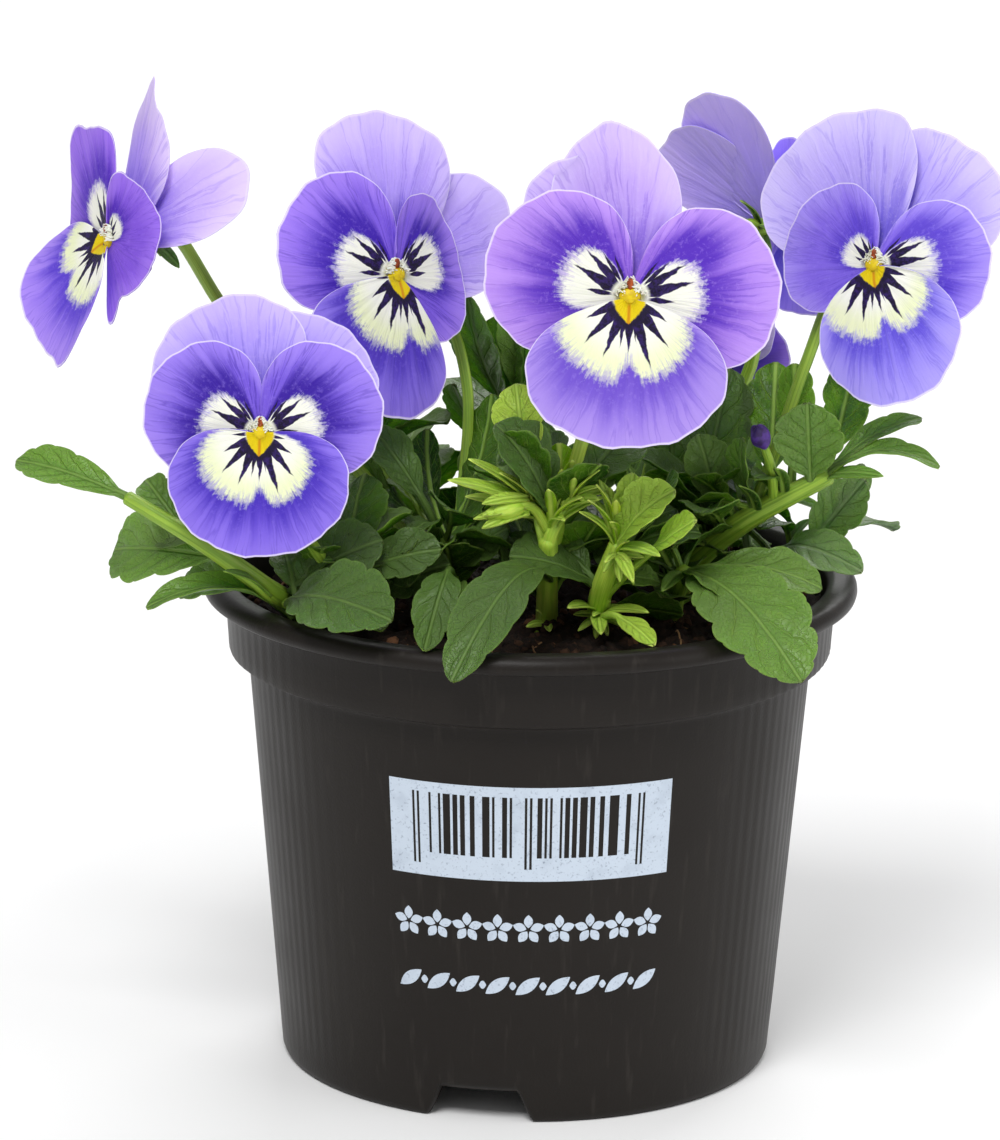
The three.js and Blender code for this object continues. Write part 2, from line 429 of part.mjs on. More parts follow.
// ---------------------------------------------------------------------------------------------
// Shoots. Stems: points, start radius, end radius. Leaves: base, tip, half width, roll, petiole
// share, bow, cup, scallops. Lobes (stipules): base, tip, half width. Stalks: bloom and path.
// ---------------------------------------------------------------------------------------------
const SHOOTS = {
  shoot_left: {
    colour: COLOUR.leaf,
    stems: [[[[-33.5, -16, 66], [-33.5, -16, 71.8], [-40, -25, 80], [-48.5, -28, 87], [-60, -26, 93.5]], 2, 1.1]],
    leaves: [
      [[-59.5, -26, 93.3], [-77, -18, 97], 3.6, -38, 0.06, 1.5, 0.3, 2],
      [[-45.5, -27, 84.5], [-63, -9, 81], 6.2, -58, 0.08, 2, 0.22, 3],
      [[-48, -27, 87], [-58, -7, 86.5], 5, -64, 0.12, 1, 0.2, 2],
      [[-36, -21, 74], [-57, -31, 78], 2.8, -18, 0.1, 4.5, 0.5, 1],
      [[-52, -27.5, 89.5], [-57.5, -21, 95], 3, -40, 0.1, 1, 0.3, 1],
      [[-40, -25.5, 80], [-53, -14, 76.5], 3.6, -45, 0.1, 1.5, 0.2, 2],
    ],
    lobes: [
      [[-49.5, -27.5, 87.5], [-53, -30, 94.5], 1.2],
      [[-49, -27.5, 87.5], [-52, -23, 92], 1.2],
      [[-39, -25, 78.5], [-45.5, -32, 84], 1.1],
    ],
    stalks: [],
  },
  shoot_front_left: {
    colour: COLOUR.dark,
    stems: [
      [[[-28, -16, 66], [-28, -16, 71.8], [-28, -18, 76], [-27, -20, 81.5]], 1.6, 1.2],
      [[[-28, -17.5, 75], [-32, -21.5, 76], [-36.5, -26, 77.5]], 0.9, 0.8],
    ],
    leaves: [
      [[-36.3, -25.8, 77.4], [-20.5, -47.5, 81], 6.6, 42, 0.08, 3.5, 0.25, 3],
      [[-27, -20, 80], [-13.5, -26, 86], 4.4, 52, 0.15, 1.5, 0.2, 2],
      [[-27, -20, 81], [-25, -13, 94], 5.2, 160, 0.12, -1, 0.2, 2],
      [[-28, -17, 75], [-22, -40, 77.5], 2.8, 10, 0.4, 2, 0.2, 1],
    ],
    lobes: [[[-27, -20, 81], [-31, -26, 84], 1.1]],
    stalks: [['low_left', [[-28, -18, 77], [-31.5, -23, 84], [-36, -26, 92], [-39, -25, 101]]]],
  },
  shoot_mid_left: {
    colour: COLOUR.dark,
    stems: [[[[-12, -8, 66], [-12, -8, 71.8], [-12, -10, 75.5], [-13.5, -12, 84]], 1.8, 1.3]],
    leaves: [
      [[-13, -12, 83], [-8.5, -6.5, 92.5], 5, 150, 0.12, 1, 0.2, 2],
      [[-13.5, -12, 83.5], [-21, -5, 90], 4.6, -150, 0.1, 1, 0.2, 2],
      [[-12, -11, 77], [-15.5, -47, 76.5], 3.6, -10, 0.4, 6, 0.25, 2],
      [[-12.5, -10.5, 78], [-3.5, -15, 86.5], 4, 55, 0.2, 1, 0.2, 2],
      [[-13.5, -12, 84], [-24, -8, 100], 3.4, -50, 0.35, 3, 0.3, 2],
      [[-13, -12, 84], [-16, -4, 99], 3, -170, 0.3, 2, 0.25, 1],
    ],
    lobes: [],
    stalks: [
      ['left', [[-12, -9, 74], [-10.5, -1, 88], [-10, 5, 104], [-14.5, 9, 116]]],
      ['far_left', [[-12, -9, 73], [-22, 0, 86], [-36, 4, 102], [-46.5, 0, 116]]],
    ],
  },
  shoot_centre: {
    colour: COLOUR.fresh,
    stems: [
      [[[2.5, -14, 66], [2.5, -14, 71.8], [2.5, -17.5, 78], [2.5, -22, 86.5]], 2, 1.6],
      [[[2.5, -21, 84], [3, -22, 87.5], [4.5, -22, 90.5], [6, -22, 93]], 1.5, 0.9],
    ],
    leaves: [
      [[2, -21.5, 85], [-2.5, -16, 109], 4.3, 166, 0.5, 1.5, 0.2, 2],
      [[3, -18, 79], [-11.5, -53, 73.5], 5, -14, 0.16, 8.5, 0.2, 2],
      [[4.5, -22, 91], [4, -18, 100.5], 2.6, 170, 0.2, 1, 0.3, 1],
      [[5.5, -22, 92], [8, -17, 99], 2.2, 175, 0.2, 1, 0.3, 1],
      [[2.5, -20, 83], [0, -4, 102], 5.6, -170, 0.25, 3, 0.2, 3],
      [[2.5, -15, 73], [8, -8, 88], 3.8, 160, 0.6, -3, 0.2, 2],
    ],
    lobes: [
      [[0.7, -20.5, 91], [-9.5, -26, 100], 1.3],
      [[0.7, -20.5, 91], [-12.5, -27, 97], 1.3],
      [[5.5, -22, 92], [10, -24, 98], 1.2],
      [[5, -22, 91.5], [10, -26, 94], 1.3],
      [[4.5, -22, 91], [6, -24, 99.5], 1.2],
    ],
    stalks: [['centre', [[2.5, -20, 82], [6, -19, 96], [10, -18, 110], [13.5, -20, 122]]]],
    bud: [[2.5, -21.5, 88], [-0.5, -24, 92.5], [-6.5, -26, 91.5]],
  },
  shoot_centre_right: {
    colour: COLOUR.fresh,
    stems: [[[[10.5, -15, 66], [10.5, -15, 71.8], [10.3, -18.5, 76], [11, -22, 80.5], [13, -24, 86.5]], 2.1, 1.7]],
    leaves: [
      [[13, -24, 86], [21, -28, 96], 4.4, 60, 0.1, 2, 0.5, 2],
      [[10.5, -19, 76], [24, -32, 92.5], 3.2, 50, 0.62, 1, 0.25, 1],
      [[10.5, -18, 73.5], [18, -41, 76], 1.9, 20, 0.4, 2, 0.2, 1],
      [[13, -23.5, 85.5], [21, -16, 96], 4.8, 140, 0.15, 1, 0.2, 2],
      [[13, -24, 86], [15, -24, 97.5], 2.4, 175, 0.1, 1, 0.3, 1],
    ],
    lobes: [
      [[13, -24, 86], [19, -32, 87], 1.2],
      [[12.5, -24, 85.5], [15, -34, 83.5], 1.1],
      [[13, -24, 86], [10, -22, 96], 1.3],
      [[10, -17, 73.5], [17.5, -29, 77.5], 1.2],
      [[10, -17, 73.5], [10.5, -27, 73.5], 1.3],
      [[10, -17, 74], [5.5, -25, 77], 1.2],
    ],
    stalks: [],
  },
  shoot_front_right: {
    colour: COLOUR.leaf,
    stems: [[[[21.5, -10, 66], [21.5, -10, 71.8], [22, -12.5, 76], [23, -16, 80.5]], 1.8, 1.3]],
    leaves: [
      [[22.5, -15, 79.5], [39.5, -46, 72], 7.8, 18, 0.12, 6, 0.18, 4],
      [[21.5, -12, 76], [30, -33, 80], 4.2, -10, 0.15, 3, 0.2, 2],
      [[23, -16, 80], [43.5, -20, 79], 4.6, 26, 0.18, 3, 0.2, 2],
    ],
    lobes: [[[23, -16, 80], [19.5, -26, 80], 1.2]],
    stalks: [],
  },
  shoot_right: {
    colour: COLOUR.leaf,
    stems: [[[[22, 1, 66], [22, 1, 71.8], [25, -4, 79], [32.5, -10, 87], [44.5, -12, 94.5]], 2.6, 1.6]],
    leaves: [
      [[42, -12, 93], [41, -16, 106.5], 5.6, 176, 0.1, 1, 0.25, 3],
      [[44, -12, 94], [61, -16, 97], 2.3, 20, 0.1, 4, 0.4, 1],
      [[44, -12, 94.3], [58.5, -10, 103], 2.4, 24, 0.1, 2, 0.4, 1],
      [[34, -10.5, 88], [31.5, -14, 100.5], 3.6, 150, 0.15, 1, 0.25, 2],
      [[29, -7.5, 83.5], [25, -8, 99.5], 4, -160, 0.35, 1, 0.25, 2],
      [[44, -12, 94.2], [49, 0, 111], 4.6, 176, 0.2, 1, 0.2, 2],
      [[39, -11.3, 91], [39.5, -5, 110], 3.2, 170, 0.4, 1, 0.25, 1],
      [[23, -1, 76], [21, 6, 101], 5.2, 172, 0.3, 1, 0.2, 2],
    ],
    lobes: [
      [[44, -12, 94.2], [52.5, -18, 96], 1.3],
      [[34, -11, 88], [31, -17, 94], 1.4],
      [[38, -11.5, 90.8], [36.5, -18, 97], 1.2],
    ],
    stalks: [['right', [[33, -10, 87.5], [37, -8, 98], [41, -6, 110], [47, -5, 124]]]],
    budStalk: [[36.5, -11, 90], [35.8, -15.5, 96.5], [34.7, -17.35, 100.1]],
  },
  shoot_far_right: {
    colour: COLOUR.grey,
    stems: [[[[31.5, 10, 66], [31.5, 10, 71.8], [35, 8, 75], [40.5, 4, 78.5], [46, 0, 81.5]], 1.7, 1.1]],
    leaves: [
      [[45, 0.5, 81], [50.5, 1, 93], 2.8, 150, 0.1, 1, 0.25, 1],
      [[38, 6, 76.8], [49.5, -19, 81.5], 3.7, 40, 0.14, 4, 0.25, 2],
      [[45, 0.5, 81], [56, 12, 80], 4, 0, 0.12, 2, 0.2, 2],
      [[34, 8.8, 74], [31, 15, 98], 4.8, 172, 0.3, 1, 0.2, 2],
    ],
    lobes: [[[40, 4.3, 78.3], [43, 4, 83.5], 1.4]],
    stalks: [],
  },
  shoot_back_left: {
    colour: COLOUR.leaf,
    stems: [[[[-14, 10, 66], [-14, 10, 71.8], [-17, 14, 79], [-26, 20, 91]], 2, 1.3]],
    leaves: [
      [[-25, 19.4, 89.8], [-51, 28, 95], 5.4, 14, 0.12, 3, 0.2, 2],
      [[-18, 14.8, 80.5], [-46, 33, 80.5], 6, 20, 0.12, 4, 0.2, 2],
      [[-16, 13, 77], [-18, 46, 83], 5.6, -10, 0.14, 4, 0.2, 2],
      [[-25.5, 19.7, 90.5], [-33, 12, 108], 4.4, 165, 0.25, 2, 0.2, 2],
      [[-25, 19.3, 89.8], [-30, 40, 101], 4.6, 0, 0.15, 3, 0.2, 2],
      [[-20, 16, 83.2], [-42, 4, 86], 5, -20, 0.15, 3, 0.2, 2],
      [[-19, 15.3, 82], [-27, 3, 99], 4.8, 165, 0.2, 2, 0.2, 2],
    ],
    lobes: [[[-25.5, 19.7, 90.5], [-31, 22, 98], 1.3]],
    stalks: [],
  },
  shoot_back: {
    colour: COLOUR.dark,
    stems: [[[[1, 14, 66], [1, 14, 71.8], [1, 18, 80], [-2, 23, 96]], 2, 1.2]],
    leaves: [
      [[-2, 22.6, 95], [-5, 12, 113], 4.2, 170, 0.25, 2, 0.2, 2],
      [[1, 18, 80], [4, 51, 81.5], 6.2, 6, 0.12, 4, 0.2, 2],
      [[0, 20, 86], [-13, 42, 96], 4.8, 0, 0.15, 3, 0.2, 2],
      [[-1.5, 22, 92.5], [9, 38, 105], 4.6, 10, 0.2, 3, 0.2, 2],
      [[0.6, 18.8, 82], [13, 6, 95], 5, 150, 0.2, 2, 0.2, 2],
      [[0, 20, 86], [-12, 8, 103], 5, 165, 0.2, 2, 0.2, 2],
    ],
    lobes: [[[-2, 23, 96], [-7, 26, 103], 1.3]],
    stalks: [],
  },
  shoot_back_right: {
    colour: COLOUR.leaf,
    stems: [[[[16, 20, 66], [16, 20, 71.8], [18.5, 24, 78], [23, 30, 85]], 2, 1.2]],
    leaves: [
      [[22.5, 29.4, 84.4], [48, 39.5, 83], 5, -10, 0.12, 2, 0.2, 2],
      [[18, 23, 77], [46, 27, 79], 5.4, -14, 0.14, 4, 0.2, 2],
      [[17, 22, 75.5], [20, 50, 80], 5.4, 0, 0.14, 3, 0.2, 2],
      [[22.8, 29.8, 84.8], [11, 40, 92], 4.4, 0, 0.2, 3, 0.2, 2],
    ],
    lobes: [[[18.5, 24, 78], [15, 27, 86], 1.3]],
    stalks: [
      ['back_right', [[17, 21, 74], [26, 19, 90], [34, 16, 106], [32, 12, 122]]],
      ['back', [[16.5, 20.5, 73], [18, 18, 86], [21, 18, 97]]],
    ],
  },
};
const BUD = { centre: [34, -18.5, 102], radius: 1.5, stretch: 1.5 };

/** One leafy shoot with its stems, leaves, stipules, flower stalks and calyces in one body. */
function shoot({ stems, leaves, lobes, stalks, bud, budStalk }) {
  const parts = stems.map(([points, start, end]) => rod(
    new THREE.CatmullRomCurve3(points.map(vec), false, 'centripetal'), start, end, points.length + 1, STEM_SIDES));
  for (const blade of leaves) parts.push(leaf(...blade));
  for (const [base, tip, width] of lobes) parts.push(lobe(vec(base), vec(tip), width));
  for (const [name, path] of stalks) parts.push(calyx(BLOOMS[name], path));
  if (bud) {
    const path = new THREE.CatmullRomCurve3(bud.map(vec));
    const [neck, nose] = [vec(bud[1]), vec(bud[2])];
    const axis = nose.clone().sub(neck).normalize();
    const head = neck.clone().lerp(nose, 0.5);
    parts.push(rod(path, STALK_RADIUS, STALK_RADIUS * 0.8, 4, STALK_SIDES));
    parts.push(ball(head, 1.55, axis, 1.75));
    for (const lift of [-1, 0, 1]) {
      const start = neck.clone().addScaledVector(Z, lift * 1.1);
      parts.push(lobe(start, nose.clone().addScaledVector(Z, lift * 1.9).addScaledVector(axis, 1), 1, 0.6));
    }
  }
  if (budStalk) {
    parts.push(rod(new THREE.CatmullRomCurve3(budStalk.map(vec)), 0.8, 0.7, 3, STALK_SIDES));
  }
  return join(parts);
}

// ---------------------------------------------------------------------------------------------
// Pot and soil
// ---------------------------------------------------------------------------------------------

/** Outer radius of the body at a height. */
const bodyRadius = (z) => THREE.MathUtils.lerp(FOOT_RADIUS, BODY_TOP_RADIUS, z / COLLAR_BOTTOM);

/** A lathe in facets whose chosen profile points sit alternately out and in, as flutes. */
function flutedLathe(profile) {
  const geometry = new THREE.LatheGeometry(profile.map(([r, z]) => new THREE.Vector2(r, z)), POT_FACETS);
  geometry.rotateX(Math.PI / 2);
  const position = geometry.attributes.position;
  const stride = profile.length;
  for (let i = 0; i < position.count; i++) {
    const [segment, row] = [Math.floor(i / stride), i % stride];
    if (!profile[row][2] || segment % 2 === 0) continue;
    const scale = 1 - FLUTE_DEPTH / profile[row][0];
    position.setX(i, position.getX(i) * scale);
    position.setY(i, position.getY(i) * scale);
  }
  return geometry;
}

/** The pot: body, stepped collar and rolled lip in one moulded wall, with feet and drain holes. */
function pot() {
  const wall = POT_WALL;
  const floor = BASE_RISE + BASE_THICKNESS;
  const lipTop = POT_HEIGHT;
  const lipUnder = POT_HEIGHT - LIP_HEIGHT;
  const inner = COLLAR_RADIUS - wall - 0.3;
  // radius, height, fluted
  const profile = [
    [0, BASE_RISE], [FOOT_RADIUS - wall - 0.6, BASE_RISE], [FOOT_RADIUS - wall - 0.7, 0],
    [FOOT_RADIUS - 0.8, 0], [bodyRadius(2.4), 2.4, true],
    [bodyRadius(62.8), 62.8, true], [COLLAR_RADIUS - 0.5, COLLAR_BOTTOM, true],
    [COLLAR_RADIUS, lipUnder, true], [RIM_RADIUS - 0.4, lipUnder],
    [RIM_RADIUS, lipUnder + 1.2], [RIM_RADIUS - 1.2, lipTop],
    [inner + 0.9, lipTop], [inner - 0.1, COLLAR_BOTTOM + 0.9],
    [BODY_TOP_RADIUS - wall - 0.2, COLLAR_BOTTOM - 0.2], [bodyRadius(floor) - wall - 0.6, floor], [0, floor],
  ];
  let body = solid(flutedLathe(profile));
  const shape = new THREE.Shape([
    new THREE.Vector2(-NOTCH_WIDTH_LOW / 2, -1), new THREE.Vector2(NOTCH_WIDTH_LOW / 2, -1),
    new THREE.Vector2(NOTCH_WIDTH_HIGH / 2, NOTCH_HEIGHT), new THREE.Vector2(-NOTCH_WIDTH_HIGH / 2, NOTCH_HEIGHT),
  ]);
  for (let k = 0; k < 3; k++) {
    const notch = new THREE.ExtrudeGeometry(shape, { depth: 8, bevelEnabled: false, steps: 1 });
    notch.rotateX(Math.PI / 2);
    notch.translate(0, -33.5, 0);
    notch.rotateZ(deg(NOTCH_TURN + 120 * k));
    body = body.subtract(solid(notch));
    for (const [ring, turn] of [[DRAIN_RING, 60], [DRAIN_RING, 0]]) {
      const hole = new THREE.CylinderGeometry(DRAIN_RADIUS, DRAIN_RADIUS, 6, 8);
      hole.rotateX(Math.PI / 2);
      hole.translate(ring, 0, BASE_RISE + BASE_THICKNESS / 2);
      hole.rotateZ(deg(turn + 120 * k));
      body = body.subtract(solid(hole));
    }
  }
  return body;
}

/** A smooth pattern of crumbs for the soil's surface. */
const crumbs = (x, y) => SOIL_RELIEF * (0.5 * Math.sin(0.43 * x + 1.1) * Math.cos(0.51 * y - 0.4)
  + 0.3 * Math.sin(0.9 * x - 0.7 * y) + 0.2 * Math.cos(1.3 * x + 1.7 * y));

/** The soil that fills the pot, with a plain hole round the foot of each shoot. */
function soil() {
  const clear = GAP + FLUTE_DEPTH;
  const floor = BASE_RISE + BASE_THICKNESS + GAP;
  const top = BODY_TOP_RADIUS - POT_WALL - 0.2 - clear;
  const rim = COLLAR_RADIUS - POT_WALL - 0.4 - clear;
  const profile = [
    [0, floor], [bodyRadius(floor) - POT_WALL - 2.3 - clear, floor],
    [bodyRadius(floor) - POT_WALL - 0.5 - clear, floor + 2], [top, COLLAR_BOTTOM - 1],
    [top + 0.6, COLLAR_BOTTOM + 0.5], [rim, COLLAR_BOTTOM + 1.6], [rim, SOIL_TOP - 0.6], [33, SOIL_TOP + 0.4],
    [18, SOIL_TOP], [0, SOIL_TOP + 0.3],
  ];
  const geometry = new THREE.LatheGeometry(profile.map(([r, z]) => new THREE.Vector2(r, z)), POT_FACETS / 2);
  geometry.rotateX(Math.PI / 2);
  const position = geometry.attributes.position;
  for (let i = 0; i < position.count; i++) {
    const [x, y, z] = [position.getX(i), position.getY(i), position.getZ(i)];
    if (z > SOIL_TOP - 0.3) position.setZ(i, z + crumbs(x, y));
  }
  let body = solid(geometry);
  for (const { stems } of Object.values(SHOOTS)) {
    const [foot, radius] = [stems[0][0][0], stems[0][1]];
    const bore = new THREE.CylinderGeometry(radius + 3 * GAP, radius + 3 * GAP, 12, 7);
    bore.rotateX(Math.PI / 2);
    bore.translate(foot[0], foot[1], foot[2] - GAP + 6);
    body = body.subtract(solid(bore));
  }
  return body;
}

// ---------------------------------------------------------------------------------------------
// Scene graph
// ---------------------------------------------------------------------------------------------
const planter = new THREE.Group();

/** Adds one named piece. */
function place(name, body, color, roughness) {
  const material = new THREE.MeshStandardMaterial({ color, roughness, metalness: 0 });
  const mesh = new THREE.Mesh(geometryOf(body).translate(...POT_OFFSET, 0), material);
  mesh.name = name;
  planter.add(mesh);
}

place('pot', pot(), COLOUR.pot, 0.42);
place('soil', soil(), COLOUR.soil, 0.95);
for (const [name, description] of Object.entries(SHOOTS)) {
  place(name, shoot(description), description.colour, 0.55);
}
for (const [name, description] of Object.entries(BLOOMS)) {
  place(`bloom_${name}`, bloom(description), description.colour, 0.6);
}
place('bud_violet', ball(vec(BUD.centre), BUD.radius, vec([-0.3, -0.5, 0.81]).normalize(), BUD.stretch),
  COLOUR.bud, 0.6);

export default planter;
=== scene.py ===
"""A potted horned pansy: a black nursery pot of peat, leafy shoots and seven whiskered blooms.

Sizes are in millimetres from the pot's axis, as in the solids; in_frame() takes them to metres in
the frame. The front faces -Y.
"""
from __future__ import annotations

import logging
import math
from dataclasses import dataclass
from enum import Enum
from typing import Sequence

import bpy
import numpy as np
from mathutils import Matrix, Vector


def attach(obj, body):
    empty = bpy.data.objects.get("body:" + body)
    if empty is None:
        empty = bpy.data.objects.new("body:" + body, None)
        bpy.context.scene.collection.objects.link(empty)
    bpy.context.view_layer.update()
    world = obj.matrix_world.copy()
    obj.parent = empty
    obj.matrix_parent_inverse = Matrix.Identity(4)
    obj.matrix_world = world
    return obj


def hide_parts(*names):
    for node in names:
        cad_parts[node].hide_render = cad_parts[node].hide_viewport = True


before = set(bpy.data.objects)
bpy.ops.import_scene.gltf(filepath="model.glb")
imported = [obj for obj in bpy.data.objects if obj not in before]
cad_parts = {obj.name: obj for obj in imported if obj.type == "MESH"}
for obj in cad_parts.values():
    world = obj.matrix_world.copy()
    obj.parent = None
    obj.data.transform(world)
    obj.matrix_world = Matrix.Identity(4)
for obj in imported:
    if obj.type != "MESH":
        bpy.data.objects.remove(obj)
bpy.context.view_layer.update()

logging.basicConfig(level=logging.INFO, format="%(message)s")
log = logging.getLogger("planter")

Point = tuple[float, float, float]
Array = np.ndarray
POT_OFFSET = np.array([4.0, 1.15, 0.0])  # the pot's axis in the frame, in millimetres
UP = np.array([0.0, 0.0, 1.0])
METRES = 0.001  # in a millimetre
GOLDEN_ANGLE = 137.5  # degrees


# ---------------- Shapes ----------------
def in_frame(points: Array) -> Array:
    """Millimetres from the pot's axis as metres in the frame."""
    return (points + POT_OFFSET) * METRES


def unit(vectors: Array) -> Array:
    """Vectors at length one."""
    return vectors / np.maximum(np.linalg.norm(vectors, axis=-1, keepdims=True), 1e-12)


def smooth(low: float, high: float, value: Array) -> Array:
    """An even step from 0 at low to 1 at high: 3t^2 - 2t^3, with t the value's share of the way."""
    t = np.clip((value - low) / (high - low), 0.0, 1.0)
    return t * t * (3 - 2 * t)


def cos_sin(degrees: float) -> tuple[float, float]:
    """The cosine and the sine of an angle in degrees."""
    return math.cos(math.radians(degrees)), math.sin(math.radians(degrees))


def turns(count: int) -> Array:
    """Even angles once round a circle, in radians."""
    return np.linspace(0, 2 * np.pi, count, endpoint=False)


def together(*numbers: Array | float) -> Array:
    """Arrays broadcast to one shape and stacked along a last axis."""
    return np.stack(np.broadcast_arrays(*numbers), -1)


@dataclass
class Surface:
    """One closed surface.

    Attributes:
        points: its points in millimetres, (n, 3).
        quads: four corners a face.
        tris: three corners a face.
        shape: three numbers a point that the finishes read.
        tone: one number a point that sets pieces of a kind apart.
        finish: which of its piece's finishes it wears.
    """

    points: Array
    quads: Array
    tris: Array
    shape: Array
    tone: float = 0.5
    finish: int = 0

    def __post_init__(self) -> None:
        """Turns the faces outwards: six times the enclosed volume must be positive."""
        a, b, c, d = (self.points[self.quads[:, k]] for k in range(4))
        volume = np.sum(a * np.cross(b, c)) + np.sum(a * np.cross(c, d))
        if len(self.tris):
            e, f, g = (self.points[self.tris[:, k]] for k in range(3))
            volume += np.sum(e * np.cross(f, g))
        if volume < 0:
            self.quads = self.quads[:, ::-1]
            self.tris = self.tris[:, ::-1]


NO_TRIS = np.zeros((0, 3), dtype=int)


def grid_quads(rows: int, columns: int, wrap: bool = False) -> Array:
    """The quads of a grid of points.

    Args:
        rows: its rows.
        columns: its columns.
        wrap: whether its last column is joined to its first.

    Returns:
        (n, 4) numbers of points.
    """
    index = np.arange(rows * columns).reshape(rows, columns)
    if wrap:
        index = np.hstack([index, index[:, :1]])
    corners = [index[:-1, :-1], index[:-1, 1:], index[1:, 1:], index[1:, :-1]]
    return np.stack(corners, -1).reshape(-1, 4)


def grid_normals(grid: Array) -> Array:
    """Unit normals of a grid: the cross product of its slopes along rows and columns."""
    return unit(np.cross(np.gradient(grid, axis=0), np.gradient(grid, axis=1)))


def sheet(grid: Array, thickness: Array | float, shape: Array, **rest) -> Surface:
    """A closed thin sheet.

    Each point of the grid goes half the thickness to both sides along the grid's own normal, and a
    band of quads closes the edge all round.

    Args:
        grid: the middle surface, (rows, columns, 3).
        thickness: in millimetres, one for all or one a point.
        shape: the three numbers of each point; the third is negated on the back.
        rest: tone and finish.

    Returns:
        The closed surface.
    """
    rows, columns = grid.shape[:2]
    half = grid_normals(grid) * (np.broadcast_to(thickness, (rows, columns)) / 2)[..., None]
    index = np.arange(rows * columns).reshape(rows, columns)
    edge = np.concatenate([index[0, :-1], index[:-1, -1], index[-1, :0:-1], index[:0:-1, 0]])
    after = np.roll(edge, -1)
    count = rows * columns
    front = grid_quads(rows, columns)
    band = np.stack([edge, edge + count, after + count, after], -1)
    points = np.concatenate([(grid + half).reshape(-1, 3), (grid - half).reshape(-1, 3)])
    shapes = np.concatenate([shape.reshape(-1, 3), (shape * np.array([1, 1, -1])).reshape(-1, 3)])
    return Surface(points, np.vstack([front, front[:, ::-1] + count, band]), NO_TRIS, shapes, **rest)


def closed_rings(rings: Array, shape: Array, **rest) -> Surface:
    """A closed surface from rings of points, each end closed by a fan to its ring's middle.

    Args:
        rings: (rows, columns, 3), each row a closed ring.
        shape: the three numbers of each point.
        rest: tone and finish.

    Returns:
        The closed surface.
    """
    rows, columns = rings.shape[:2]
    count = rows * columns
    ring = np.arange(columns)
    after = np.roll(ring, -1)
    top = count - columns
    first = np.stack([after, ring, np.full(columns, count)], -1)
    last = np.stack([ring + top, after + top, np.full(columns, count + 1)], -1)
    points, shapes = (np.concatenate([grid.reshape(-1, 3), [grid[0].mean(0), grid[-1].mean(0)]])
                      for grid in (rings, shape))
    return Surface(points, grid_quads(rows, columns, True), np.vstack([first, last]), shapes, **rest)


def spline(points: Sequence[Point] | Array, count: int) -> Array:
    """A centripetal Catmull-Rom curve through points, evaluated at count even steps of its parameter.

    Between two points it is the cubic whose slopes come from the square roots of the distances to
    the neighbours; at each end the curve is led on by mirroring the neighbour.

    Args:
        points: what the curve goes through.
        count: how many points to return.

    Returns:
        (count, 3) points.
    """
    knots = np.asarray(points, dtype=float)
    knots = np.vstack([2 * knots[0] - knots[1], knots, 2 * knots[-1] - knots[-2]])
    t = np.linspace(0, len(knots) - 3, count)
    i = np.minimum(t.astype(int), len(knots) - 4)
    w = (t - i)[:, None]
    p0, p1, p2, p3 = knots[i], knots[i + 1], knots[i + 2], knots[i + 3]
    d0, d1, d2 = (np.sqrt(np.linalg.norm(b - a, axis=1, keepdims=True))
                  for a, b in ((p0, p1), (p1, p2), (p2, p3)))
    t1 = ((p1 - p0) / d0 - (p2 - p0) / (d0 + d1) + (p2 - p1) / d1) * d1
    t2 = ((p2 - p1) / d1 - (p3 - p1) / (d1 + d2) + (p3 - p2) / d2) * d1
    return p1 + t1 * w + (3 * (p2 - p1) - 2 * t1 - t2) * w**2 + (2 * (p1 - p2) + t1 + t2) * w**3


def tube(path: Array, radius: Array, sides: int = 12, ribs: float = 0.0, **rest) -> Surface:
    """A round rod along a path, with a rounded nose at both ends.

    Rings stand square to the path; the normal of the plane nearest to the path gives them a common
    turn. A nose is two more rings, a quarter and half the radius past the path's end and 0.8 and 0.35
    of it wide. The radius may carry four ribs: radius * (1 + ribs * cos 4a). Its shape numbers are
    the share of the way round (0 to 1 and back), the share of the way along, and the radius.

    Args:
        path: (n, 3) points.
        radius: (n,) radii.
        sides: points a ring.
        ribs: height of the ribs as a share of the radius.
        rest: tone and finish.

    Returns:
        The closed surface.
    """
    tangent = unit(np.gradient(path, axis=0))
    flat = np.linalg.svd(path - path.mean(0))[2][2]
    across = unit(np.cross(tangent, flat))
    above = np.cross(across, tangent)
    past, narrow = np.array([[0.5], [0.25]]), np.array([0.35, 0.8])
    path = np.vstack([path[0] - tangent[0] * radius[0] * past, path,
                      path[-1] + tangent[-1] * radius[-1] * past[::-1]])
    radius = np.concatenate([narrow * radius[0], radius, narrow[::-1] * radius[-1]])
    across, above = (np.vstack([v[:1], v[:1], v, v[-1:], v[-1:]]) for v in (across, above))
    angle = turns(sides)
    wide = radius[:, None, None] * (1 + ribs * np.cos(4 * angle))[None, :, None]
    rings = path[:, None] + wide * (np.cos(angle)[None, :, None] * across[:, None]
                                    + np.sin(angle)[None, :, None] * above[:, None])
    way = np.linspace(0, 1, len(path))[:, None]
    shape = together(1 - np.abs(angle / np.pi - 1)[None], way, radius[:, None])
    return closed_rings(rings, shape, **rest)


